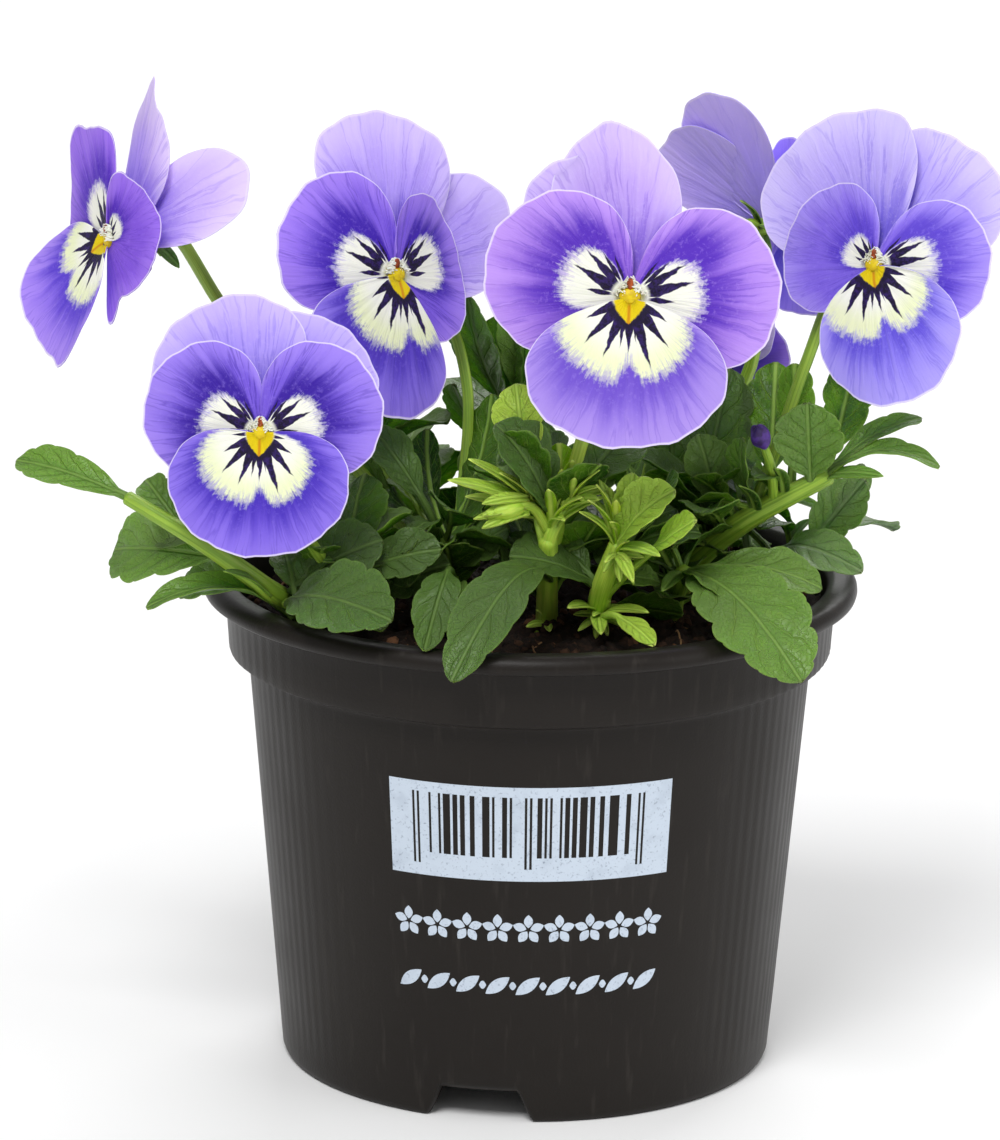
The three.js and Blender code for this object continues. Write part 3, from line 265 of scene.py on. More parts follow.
def ellipsoid(centre: Array, axis: Array, across: float, along: float, rows: int = 10, sides: int = 16,
              **rest) -> Surface:
    """A ball stretched along an axis: rings of radius across * sin v at height -along * cos v.

    Args:
        centre: its middle.
        axis: its direction, of any length.
        across: its radius across the axis.
        along: its radius along the axis.
        rows: how many rings it has between its poles.
        sides: points a ring.
        rest: tone and finish.

    Returns:
        The closed surface.
    """
    axis = unit(np.asarray(axis, dtype=float))
    one = unit(np.cross(axis, np.array([0.3, 0.9, 0.2])))
    two = np.cross(axis, one)
    v = np.linspace(0, np.pi, rows + 2)[1:-1, None, None]
    a = turns(sides)[None, :, None]
    round_axis = np.cos(a) * one + np.sin(a) * two
    rings = np.asarray(centre) - axis * along * np.cos(v) + across * np.sin(v) * round_axis
    shape = together(a[..., 0] / (2 * np.pi), v[..., 0] / np.pi, across)
    return closed_rings(rings, shape, **rest)


def blade_frame(base: Array, tip: Array, roll: float) -> tuple[Array, Array]:
    """The upper normal and the side of a blade.

    Args:
        base: where it starts.
        tip: where it ends.
        roll: its turn in degrees about the line from base to tip.

    Returns:
        The unit normal, which points up where roll is zero, and the unit side square to it.
    """
    along = unit(tip - base)
    up = np.array([0.0, 1.0, 0.0]) if abs(along[2]) > 0.95 else UP
    normal = unit(up - along * up.dot(along))
    side = np.cross(along, normal)
    c, s = cos_sin(roll)
    return normal * c + side * s, side * c - normal * s


# ---------------- Finishes ----------------
Socket = bpy.types.NodeSocket
Colour = tuple[int, int, int]

# A leaf's side veins: how many there are from base to tip, and how far each runs on towards the tip,
# as a share of the leaf, on its way to the margin. The colour and the bulges of a blade share them.
SIDE_VEINS = 5.5
VEIN_LEAN = 0.34


def tint(red: int, green: int, blue: int) -> tuple[float, float, float, float]:
    """A colour as a camera shows it, 0 to 255, as the linear colour that a shader takes."""
    return (*(c / 12.92 if c <= 0.04045 else ((c + 0.055) / 1.055) ** 2.4
              for c in (red / 255, green / 255, blue / 255)), 1.0)


@dataclass(frozen=True)
class Value:
    """A number that varies over a surface. Each sum, product and so on is one Math node."""

    recipe: Recipe
    socket: Socket

    def __add__(self, other: Value | float) -> Value:
        """This and the other together."""
        return self.recipe.math("ADD", self, other)

    def __sub__(self, other: Value | float) -> Value:
        """This less the other."""
        return self.recipe.math("SUBTRACT", self, other)

    def __mul__(self, other: Value | float) -> Value:
        """This times the other."""
        return self.recipe.math("MULTIPLY", self, other)

    def __truediv__(self, other: Value | float) -> Value:
        """This over the other."""
        return self.recipe.math("DIVIDE", self, other)

    def __abs__(self) -> Value:
        """This without its sign."""
        return self.recipe.math("ABSOLUTE", self)


class Recipe:
    """A material's nodes, written as arithmetic on values."""

    def __init__(self, name: str, **constant: float | tuple) -> None:
        """Starts a material whose shader has these constants.

        Args:
            name: the material's name.
            constant: shader sockets by name, with underscores for spaces.
        """
        self.material = bpy.data.materials.new(name)
        self.material.use_nodes = True
        self.tree = self.material.node_tree
        self.shader = self.tree.nodes["Principled BSDF"]
        for key, value in constant.items():
            self.shader.inputs[key.replace("_", " ")].default_value = value

    def join(self, what: object, target: Socket) -> None:
        """Links a value or a socket to an input, or sets a constant on it.

        Args:
            what: a Value, a socket, a number, a colour or a vector.
            target: the input.
        """
        if isinstance(what, Value):
            what = what.socket
        if isinstance(what, Socket):
            self.tree.links.new(what, target)
        else:
            target.default_value = what

    def node(self, kind: str, inputs: dict[int | str, object], **settings: object) -> bpy.types.Node:
        """A new node, with its settings made and its inputs joined or set.

        Args:
            kind: the node's type.
            inputs: what goes to each input, by its name or number.
            settings: the node's own settings.

        Returns:
            The node.
        """
        node = self.tree.nodes.new(kind)
        for key, value in settings.items():
            setattr(node, key, value)
        for key, value in inputs.items():
            self.join(value, node.inputs[key])
        return node

    def math(self, operation: str, *values: Value | float) -> Value:
        """One Math node on these values."""
        node = self.node("ShaderNodeMath", dict(enumerate(values)), operation=operation)
        return Value(self, node.outputs[0])

    def step(self, value: Value, low: float, high: float, start: float = 0.0, end: float = 1.0) -> Value:
        """An even step from start, while the value is up to low, to end, from high on.

        Args:
            value: what it follows.
            low: where it begins.
            high: where it ends.
            start: its value up to low.
            end: its value from high on.

        Returns:
            The eased value.
        """
        ranged = self.node("ShaderNodeMapRange", {0: value, 1: low, 2: high, 3: start, 4: end},
                           interpolation_type="SMOOTHSTEP")
        return Value(self, ranged.outputs[0])

    def blend(self, share: Value | float, first: Socket | Colour, second: Socket | Colour) -> Socket:
        """Two colours mixed: a share of 0 gives the first and 1 the second."""
        first, second = (tint(*c) if isinstance(c, tuple) else c for c in (first, second))
        return self.node("ShaderNodeMix", {0: share, 6: first, 7: second}, data_type="RGBA").outputs[2]

    def parts(self, vector: Socket) -> tuple[Value, Value, Value]:
        """The three numbers of a vector."""
        x, y, z = self.node("ShaderNodeSeparateXYZ", {0: vector}).outputs
        return Value(self, x), Value(self, y), Value(self, z)

    def numbers(self) -> tuple[Value, Value, Value]:
        """The three numbers that a surface carries at each point."""
        return self.parts(self.node("ShaderNodeAttribute", {}, attribute_name="shape").outputs["Vector"])

    def tone(self) -> Value:
        """The number that sets pieces of a kind apart."""
        return Value(self, self.node("ShaderNodeAttribute", {}, attribute_name="tone").outputs["Fac"])

    def place(self) -> Socket:
        """Where a point lies in the frame, in metres."""
        return self.node("ShaderNodeTexCoord", {}).outputs["Object"]

    def vector(self, x: Value, y: Value, z: Value) -> Socket:
        """Three numbers as one vector."""
        return self.node("ShaderNodeCombineXYZ", {0: x, 1: y, 2: z}).outputs[0]

    def noise(self, where: Socket, scale: float, detail: float = 3.0, rough: float = 0.55) -> Value:
        """Soft noise about 0.5, with scale waves to a unit."""
        inputs = {"Vector": where, "Scale": scale, "Detail": detail, "Roughness": rough}
        return Value(self, self.node("ShaderNodeTexNoise", inputs).outputs["Fac"])

    def bump(self, height: Value, depth: float) -> Socket:
        """Relief that is depth metres deep where the height goes from 0 to 1."""
        inputs = {"Height": height, "Distance": depth, "Strength": 1.0}
        return self.node("ShaderNodeBump", inputs).outputs["Normal"]

    def finish(self, colour: object, roughness: Value | float | None = None,
               normal: Socket | None = None) -> bpy.types.Material:
        """Joins colour, roughness and relief to the shader.

        Args:
            colour: the base colour.
            roughness: left as the constant that it is, if nothing is given.
            normal: relief.

        Returns:
            The material.
        """
        for key, what in (("Base Color", colour), ("Roughness", roughness), ("Normal", normal)):
            if what is not None:
                self.join(what, self.shader.inputs[key])
        return self.material


@dataclass(frozen=True)
class PotPlastic:
    """Recycled black-brown plastic, satin, with faint mottling and scuffs."""

    name: str = "pot_plastic"
    body: Colour = (26, 22, 19)
    worn: Colour = (52, 48, 44)
    scuff_stretch: float = 0.12

    def material(self) -> bpy.types.Material:
        """Mottled colour, scuffs drawn out upwards, and roughness that follows both.

        Returns:
            The material.
        """
        r = Recipe(self.name, Specular_IOR_Level=0.16, Coat_Weight=0.02, Coat_Roughness=0.25)
        where = r.place()
        tall = r.node("ShaderNodeMapping", {"Vector": where, "Scale": (1.0, 1.0, self.scuff_stretch)})
        cloud, grain = r.noise(where, 60, 4), r.noise(where, 2600, 2)
        scuff = r.step(r.noise(tall.outputs[0], 700, 2), 0.56, 0.8)
        colour = r.blend(cloud * 0.3 + scuff * 0.45, self.body, self.worn)
        return r.finish(colour, cloud * 0.2 + scuff * 0.1 + 0.32, r.bump(grain + cloud * 3.0, 0.00003))


@dataclass(frozen=True)
class PrintInk:
    """Pale bluish-white ink, a little thin in specks, where the pot shows through."""

    name: str = "white_print"
    ink: Colour = (200, 212, 226)
    thin: Colour = (136, 148, 166)

    def material(self) -> bpy.types.Material:
        """Fine specks of thinner ink over a broad, faint unevenness.

        Returns:
            The material.
        """
        r = Recipe(self.name, Specular_IOR_Level=0.3)
        where = r.place()
        specks = r.step(r.noise(where, 2400, 2), 0.56, 0.74)
        patches = r.step(r.noise(where, 260, 3), 0.5, 0.75)
        colour = r.blend(specks * 0.65 + patches * 0.25, self.ink, self.thin)
        return r.finish(colour, 0.55, r.bump(specks, 0.00002))


@dataclass(frozen=True)
class Peat:
    """Dark crumbly peat: brown-black, with reddish and pale bits."""

    name: str = "peat"
    dark: Colour = (20, 14, 10)
    brown: Colour = (72, 49, 34)
    red: Colour = (122, 84, 56)

    def material(self) -> bpy.types.Material:
        """Three browns from noise and from each crumb's own tone, with coarse relief.

        Returns:
            The material.
        """
        r = Recipe(self.name, Specular_IOR_Level=0.25)
        fine, tone = r.noise(r.place(), 900, 5, 0.7), r.tone()
        colour = r.blend(r.step(tone * 0.5 + fine * 0.7, 0.35, 0.9), self.dark, self.brown)
        colour = r.blend(r.step(tone, 0.9, 1.0, 0.0, 0.7), colour, self.red)
        return r.finish(colour, 0.92, r.bump(fine, 0.0006))


@dataclass(frozen=True)
class Fibre:
    """Pale straw-brown fibres in the peat."""

    name: str = "peat_fibre"
    straw: Colour = (158, 124, 84)
    brown: Colour = (92, 64, 42)

    def material(self) -> bpy.types.Material:
        """Straw colour, darker in places.

        Returns:
            The material.
        """
        r = Recipe(self.name, Specular_IOR_Level=0.3)
        share = r.noise(r.place(), 500, 2)
        return r.finish(r.blend(share, self.straw, self.brown), 0.8, r.bump(share, 0.0001))


@dataclass(frozen=True)
class LeafSkin:
    """A leaf's skin: a blade from deep to bright green, paler veins and margin, and a greyer underside."""

    name: str
    deep: Colour
    bright: Colour
    vein: Colour
    under: Colour

    def veins(self, r: Recipe, side: Value, along: Value, half: Value) -> Value:
        """How much a point lies on the midrib, a curved side vein or the fine net between them.

        A side vein is where (along - VEIN_LEAN * side) * SIDE_VEINS, a little wavy, is near a half.

        Args:
            r: the material.
            side: the share of the way from midrib to margin.
            along: the share of the way along the blade.
            half: the half width there in millimetres.

        Returns:
            From 0 between the veins to 1 on the midrib.
        """
        wave = (side * -VEIN_LEAN + along + (r.noise(r.place(), 260, 2) * 0.09 - 0.045)) * SIDE_VEINS
        off = abs(r.math("FRACT", wave) - 0.5)
        lateral = r.step(off, 0.0, 0.075, 1.0, 0.0) * r.step(side, 0.55, 1.0, 1.0, 0.15)
        midrib = r.step(side * half, 0.12, 0.5, 1.0, 0.0)
        net = r.step(abs(r.noise(r.place(), 1300, 1) - 0.5), 0.0, 0.05, 0.28, 0.0)
        return r.math("MAXIMUM", r.math("MAXIMUM", lateral * 0.7, net), midrib)

    def material(self) -> bpy.types.Material:
        """Clouded green with veins, from the leaf's numbers (side share, share along, half width, which is
        negative underneath).

        Returns:
            The material.
        """
        r = Recipe(self.name, Specular_IOR_Level=0.3, Subsurface_Weight=0.2, Subsurface_Scale=0.002,
                   Subsurface_Radius=(0.5, 1.0, 0.2))
        across, along, half = r.numbers()
        where, side = r.place(), abs(across)
        veins = self.veins(r, side, along, abs(half))
        cloud = (r.noise(where, 180, 3) * 1.3 - 0.4) + (r.tone() * 0.9 - 0.35)
        colour = r.blend(r.step(cloud, 0.0, 1.0), self.deep, self.bright)
        colour = r.blend(r.step(side, 0.9, 1.0) * 0.35, colour, self.vein)
        strength = r.step(along, -0.02, 0.05, 0.75, 0.6)
        colour = r.blend(veins * strength, colour, self.vein)
        colour = r.blend(r.step(half, -0.05, 0.05, 0.8, 0.0), colour, self.under)
        return r.finish(colour, veins * 0.12 + 0.4, r.bump(r.noise(where, 420, 2) - veins, 0.0003))


@dataclass(frozen=True)
class StemSkin:
    """A stem's skin: pale green with lengthwise streaks, browner near the soil."""

    name: str
    pale: Colour
    deep: Colour
    foot: Colour = (78, 62, 38)
    foot_from: float = 0.0715
    foot_to: float = 0.0785

    def material(self) -> bpy.types.Material:
        """Streaks that run along the stem, from its own numbers (share round, share along, radius).

        Returns:
            The material.
        """
        r = Recipe(self.name, Specular_IOR_Level=0.4, Subsurface_Weight=0.15, Subsurface_Scale=0.0015)
        around, along, _ = r.numbers()
        streak = r.noise(r.vector(around * 9.0, along * 2.0, r.tone()), 1.6, 3)
        cloud = r.noise(r.place(), 240, 2)
        share = r.step(streak, 0.32, 0.68) * 0.65 + cloud * 0.3
        colour = r.blend(share, self.pale, self.deep)
        _, _, height = r.parts(r.place())
        low = r.step(cloud * 0.004 + height, self.foot_from, self.foot_to, 0.75, 0.0)
        return r.finish(r.blend(low, colour, self.foot), 0.42, r.bump(streak, 0.00015))


class PetalKind(Enum):
    """Which petal of a bloom: they wear different marks."""

    UPPER = "upper"
    SIDE = "side"
    LOWER = "lower"


@dataclass(frozen=True)
class Whisker:
    """One dark line: its direction and half width in degrees about the petal's axis, and how far out its
    tip lies as a share of the bloom's size."""

    angle: float
    half_width: float
    tip: float


SIDE_WHISKERS = (
    Whisker(18.5, 10, 0.45), Whisker(1.5, 12, 0.45), Whisker(-18, 11, 0.31), Whisker(30, 7, 0.37),
    Whisker(40, 6, 0.32), Whisker(-3, 25, 0.25), Whisker(14, 24, 0.23))
LOWER_WHISKERS = (
    Whisker(85, 9, 0.23), Whisker(61, 12, 0.33), Whisker(42, 12, 0.44), Whisker(21, 12, 0.45),
    Whisker(9, 8, 0.36), Whisker(-2, 11, 0.39), Whisker(-11, 6, 0.33), Whisker(-19, 12, 0.51),
    Whisker(-40, 12, 0.44), Whisker(-59, 11, 0.31), Whisker(-79, 9, 0.21))


@dataclass(frozen=True)
class Marks:
    """The marks of a side petal or the lower one, the same on every bloom: where the pale patch lies and
    how wide it is in degrees, how far out it ends, its whiskers and how far out they start, and the
    patch's colours near the throat and far out."""

    centre: float
    wide: float
    far: float
    whiskers: tuple[Whisker, ...]
    start: float
    cream: Colour
    cream_far: Colour


MARKS = {
    PetalKind.SIDE: Marks(-6.0, 42.0, 0.5, SIDE_WHISKERS, 0.115, (240, 240, 228), (240, 240, 228)),
    PetalKind.LOWER: Marks(8.0, 95.0, 0.58, LOWER_WHISKERS, 0.1, (242, 242, 232), (234, 240, 196)),
}


@dataclass(frozen=True)
class Ground:
    """What a petal's marks follow.

    Attributes:
        angle: degrees from where the marks are centred.
        wavy: the same, a little wavy.
        reach: distance from the throat.
        threads: fine rays.
        mottle: fine noise.
    """

    angle: Value
    wavy: Value
    reach: Value
    threads: Value
    mottle: Value


@dataclass(frozen=True)
class PetalSkin:
    """A petal's skin: deep round the pale patch or at the base, body in the middle, rim outwards, and
    margin at the very edge.

    Its numbers are the angle in degrees from where the marks are centred, the distance from the
    throat as a share of the bloom's size, and the share of the way to its margin, negative on the back.
    """

    name: str
    kind: PetalKind
    deep: Colour
    body: Colour
    rim: Colour
    margin: Colour = (238, 228, 252)
    whisker: tuple[Colour, Colour] = ((20, 10, 40), (48, 28, 96))
    throat: Colour = (206, 204, 84)
    eye_ring: Colour = (24, 13, 46)
    eye_gold: Colour = (228, 202, 4)
    eye_line: Colour = (208, 128, 6)

    def patch(self, r: Recipe, ground: Ground) -> tuple[Value, Value]:
        """The pale patch.

        The edge's distance falls off with the fourth power of the angle, has a notch in the middle
        of the lower petal, and is feathered along fine rays.

        Args:
            r: the material.
            ground: what the patch follows.

        Returns:
            How much a point is in the patch, and how far past the patch's edge it lies.
        """
        marks = MARKS[self.kind]
        turned = (ground.angle - marks.centre) / marks.wide
        square = turned * turned
        edge = square * square * (marks.far * -0.62) + marks.far
        if self.kind is PetalKind.LOWER:
            edge = edge - r.step(abs(ground.angle + 2.0), 0.0, 11.0, 0.13, 0.0)
        ragged = ground.mottle * 0.45 + ground.threads * 0.55
        past = ground.reach - (ragged * 0.3 + (edge - 0.15))
        return r.step(past, -0.06, 0.035, 1.0, 0.0), past

    def whiskers(self, r: Recipe, ground: Ground) -> Value:
        """Dark tapering lines that close at their tips and run together near the throat.

        A line's half width is half_width * (1 - reach / tip), times a flare that depends on reach;
        where lines overlap the widest wins.

        Args:
            r: the material.
            ground: what the lines follow.

        Returns:
            From 0 beside the lines to 1 on them.
        """
        marks, angle, reach = MARKS[self.kind], ground.wavy, ground.reach
        if self.kind is PetalKind.LOWER:
            flare = r.step(reach, 0.14, 0.33, 1.75, 1.0)
        else:
            flare = r.step(reach, 0.13, 0.2, 0.7, 1.5) * r.step(reach, 0.24, 0.36, 1.0, 0.7)
        depth: Value | None = None
        for w in marks.whiskers:
            line = flare * (reach * (-w.half_width / w.tip) + w.half_width) - abs(angle - w.angle)
            depth = line if depth is None else r.math("MAXIMUM", depth, line)
        return r.step(depth, -0.3, 1.0) * r.step(reach, marks.start, marks.start + 0.03)

    def eye(self, r: Recipe, ground: Ground, colour: Socket) -> Socket:
        """The lower petal's yellow eye, a rounded V below the throat, with its line and dark ring.

        With x across and y down from the throat it is where x / 0.11 + (y / 0.18)^2 is under one.

        Args:
            r: the material.
            ground: what the eye follows.
            colour: the petal's colour so far.

        Returns:
            The colour with the eye on it.
        """
        angle, reach = ground.wavy, ground.reach
        turn = r.math("RADIANS", angle)
        x, y = abs(reach * r.math("SINE", turn)), reach * r.math("COSINE", turn)
        down = y / 0.18
        inside = x * (1 / 0.11) + down * down + (ground.mottle * 0.3 - 0.15)
        ring = r.step(inside, 1.35, 1.9, 1.0, 0.0) * r.step(abs(angle), 52, 70, 0.9, 0.0)
        colour = r.blend(ring, colour, self.eye_ring)
        line = r.step(x, 0.003, 0.02, 0.8, 0.0) * r.step(y, 0.03, 0.07)
        gold = r.blend(line, self.eye_gold, self.eye_line)
        return r.blend(r.step(inside, 0.95, 1.1, 1.0, 0.0), colour, gold)

    def marked(self, r: Recipe, ground: Ground, colour: Socket, inside: Value, past: Value) -> Socket:
        """A side petal's or the lower one's marks on its colour: patch, fringe, whiskers and eye.

        Args:
            r: the material.
            ground: what the marks follow.
            colour: the petal's colour so far.
            inside: how much a point is in the pale patch.
            past: how far past the patch's edge it lies.

        Returns:
            The colour with the marks on it.
        """
        marks, reach = MARKS[self.kind], ground.reach
        cream = r.blend(r.step(reach, 0.28, 0.48), marks.cream, marks.cream_far)
        colour = r.blend(inside, colour, cream)
        fringe = r.step(ground.threads, 0.5, 0.6) * r.step(past, -0.15, -0.01, 0.0, 0.75)
        colour = r.blend(fringe * inside, colour, self.body)
        dark = r.blend(r.step(ground.mottle, 0.4, 0.66), *self.whisker)
        colour = r.blend(self.whiskers(r, ground), colour, dark)
        colour = r.blend(r.step(reach, 0.07, 0.115, 0.75, 0.0), colour, self.throat)
        return self.eye(r, ground, colour) if self.kind is PetalKind.LOWER else colour

    def material(self) -> bpy.types.Material:
        """Colour outwards in three steps with rays, then the marks and the thin margin.

        Returns:
            The material.
        """
        r = Recipe(self.name, Specular_IOR_Level=0.2, Sheen_Weight=0.06, Sheen_Roughness=0.4, Roughness=0.6,
                   Subsurface_Weight=0.15, Subsurface_Scale=0.0015, Subsurface_Radius=(0.6, 0.5, 1.0))
        angle, reach, outwards = r.numbers()
        margin, where, seed = abs(outwards), r.place(), r.tone() * 40.0
        bent = angle + (r.noise(where, 200, 2) * 5.0 - 2.5)
        rays = r.noise(r.vector(bent * 0.15, reach * 0.7, seed), 1.0, 3, 0.55)
        threads = r.noise(r.vector(angle * 0.5, reach * 2.6, seed), 1.0, 3, 0.65)
        veins = r.step(abs(rays - 0.5), 0.0, 0.03, 1.0, 0.0)
        mottle = r.noise(where, 1500, 3, 0.7)
        if self.kind is PetalKind.UPPER:
            past = reach - 0.25
        else:
            wavy = angle + (r.noise(where, 700, 2) * 5.0 - 2.5)
            ground = Ground(angle, wavy, reach, threads, mottle)
            inside, past = self.patch(r, ground)
        spread = (rays - 0.5) * 0.5 + past
        if self.kind is PetalKind.SIDE:
            spread = spread - r.step(angle, 0.0, 52.0, 0.0, 0.33)
        colour = r.blend(r.step(spread, -0.02, 0.36), self.deep, self.body)
        colour = r.blend(r.step((rays - 0.5) * 0.4 + margin, 0.62, 1.02), colour, self.rim)
        colour = r.blend(veins * r.step(reach, 0.25, 1.0, 0.6, 0.3), colour, self.deep)
        colour = r.blend(r.step(mottle, 0.5, 0.72, 0.0, 0.26), colour, self.rim)
        plain = r.blend(0.5, colour, self.rim)
        if self.kind is not PetalKind.UPPER:
            colour = self.marked(r, ground, colour, inside, past)
        colour = r.blend(r.step(outwards, -0.01, 0.01), plain, colour)
        colour = r.blend(r.step(margin, 0.98, 0.993, 0.0, 0.75), colour, self.margin)
        return r.finish(colour, None, r.bump(rays * 1.2 + threads * 0.4, 0.00025))


@dataclass(frozen=True)
class PlainSkin:
    """A small part in two close colours that change over a millimetre or so."""

    name: str
    first: Colour
    second: Colour
    grain: float = 700.0

    def material(self) -> bpy.types.Material:
        """Two colours by soft noise, with slight relief.

        Returns:
            The material.
        """
        r = Recipe(self.name, Specular_IOR_Level=0.35, Subsurface_Weight=0.1, Subsurface_Scale=0.001)
        cloud = r.noise(r.place(), self.grain, 3)
        colour = r.blend(r.step(cloud, 0.35, 0.65), self.first, self.second)
        return r.finish(colour, 0.5, r.bump(cloud, 0.0001))


LEAF = LeafSkin("leaf_green", (28, 62, 6), (112, 160, 36), (168, 202, 88), (104, 136, 62))
LEAF_DARK = LeafSkin("leaf_dark_green", (18, 42, 5), (78, 122, 20), (134, 168, 66), (82, 110, 50))
LEAF_FRESH = LeafSkin("leaf_fresh_green", (136, 186, 20), (208, 242, 58), (228, 246, 122), (168, 206, 76))
LEAF_GREY = LeafSkin("leaf_grey_green", (56, 86, 38), (112, 144, 78), (162, 186, 124), (118, 142, 92))
STEM = StemSkin("stem_green", (168, 202, 70), (100, 142, 28))
STEM_FRESH = StemSkin("stem_fresh_green", (206, 230, 94), (150, 194, 42))
BUD_SKIN = PlainSkin("bud_violet", (48, 26, 84), (84, 52, 140))
SPUR_SKIN = PlainSkin("spur_violet", (150, 130, 214), (112, 88, 184))
THROAT_SKIN = PlainSkin("throat_yellow", (226, 200, 10), (206, 176, 8), 1200.0)
STIGMA_SKIN = PlainSkin("stigma_orange", (176, 80, 22), (112, 44, 18), 1600.0)
BEARD_SKIN = PlainSkin("beard_white", (250, 249, 240), (236, 234, 214))


# ---------------- Pieces ----------------
def joined(surfaces: Sequence[Surface]) -> tuple[Array, list[list[int]]]:
    """Several surfaces as one list of points and one of faces.

    Args:
        surfaces: what to join.

    Returns:
        The points in metres in the frame, and each face's corners: first all quads, then all tris.
    """
    starts = np.cumsum([0] + [len(s.points) for s in surfaces])
    blocks = [s.quads + k for s, k in zip(surfaces, starts)] + [s.tris + k for s, k in zip(surfaces, starts)]
    points = in_frame(np.concatenate([s.points for s in surfaces]))
    return points, [face for block in blocks for face in block.tolist()]


def mesh_of(name: str, surfaces: Sequence[Surface]) -> bpy.types.Mesh:
    """A mesh that holds the points and faces of several surfaces.

    Args:
        name: the mesh's name.
        surfaces: what it holds.

    Returns:
        The mesh, in metres.
    """
    points, faces = joined(surfaces)
    mesh = bpy.data.meshes.new(name)
    mesh.from_pydata(points.tolist(), [], faces)
    return mesh


def put(name: str, data: bpy.types.ID) -> bpy.types.Object:
    """A new object with this data, linked to the scene.

    Args:
        name: the object's name.
        data: its mesh, camera or light.

    Returns:
        The object.
    """
    made = bpy.data.objects.new(name, data)
    bpy.context.scene.collection.objects.link(made)
    return made


@dataclass
class Piece:
    """A finished piece: closed surfaces in one mesh, with their finishes."""

    name: str
    surfaces: list[Surface]
    finishes: list[bpy.types.Material]
    node: str | None = None
    slot: str | None = None
    auto_smooth: float | None = None

    def make(self) -> bpy.types.Object:
        """Puts the surfaces into one mesh, in metres in the frame, and joins it to the frame.

        Returns:
            The new object, at the origin.
        """
        mesh = mesh_of(self.name, self.surfaces)
        wear = [np.full(len(s.quads), s.finish) for s in self.surfaces]
        wear += [np.full(len(s.tris), s.finish) for s in self.surfaces]
        mesh.polygons.foreach_set("material_index", np.concatenate(wear).astype(np.int32))
        mesh.polygons.foreach_set("use_smooth", np.ones(len(mesh.polygons), dtype=bool))
        shape = np.concatenate([s.shape for s in self.surfaces]).astype(np.float32)
        mesh.attributes.new("shape", "FLOAT_VECTOR", "POINT").data.foreach_set("vector", shape.ravel())
        tone = np.concatenate([np.full(len(s.points), s.tone) for s in self.surfaces]).astype(np.float32)
        mesh.attributes.new("tone", "FLOAT", "POINT").data.foreach_set("value", tone)
        for material in self.finishes:
            mesh.materials.append(material)
        mesh.validate()
        if self.auto_smooth is not None:
            mesh.set_sharp_from_angle(angle=math.radians(self.auto_smooth))
        made = put(self.name, mesh)
        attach(made, "root")
        if self.node:
            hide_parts(self.node)
        log.info("%s: %d faces", self.name, len(mesh.polygons))
        return made


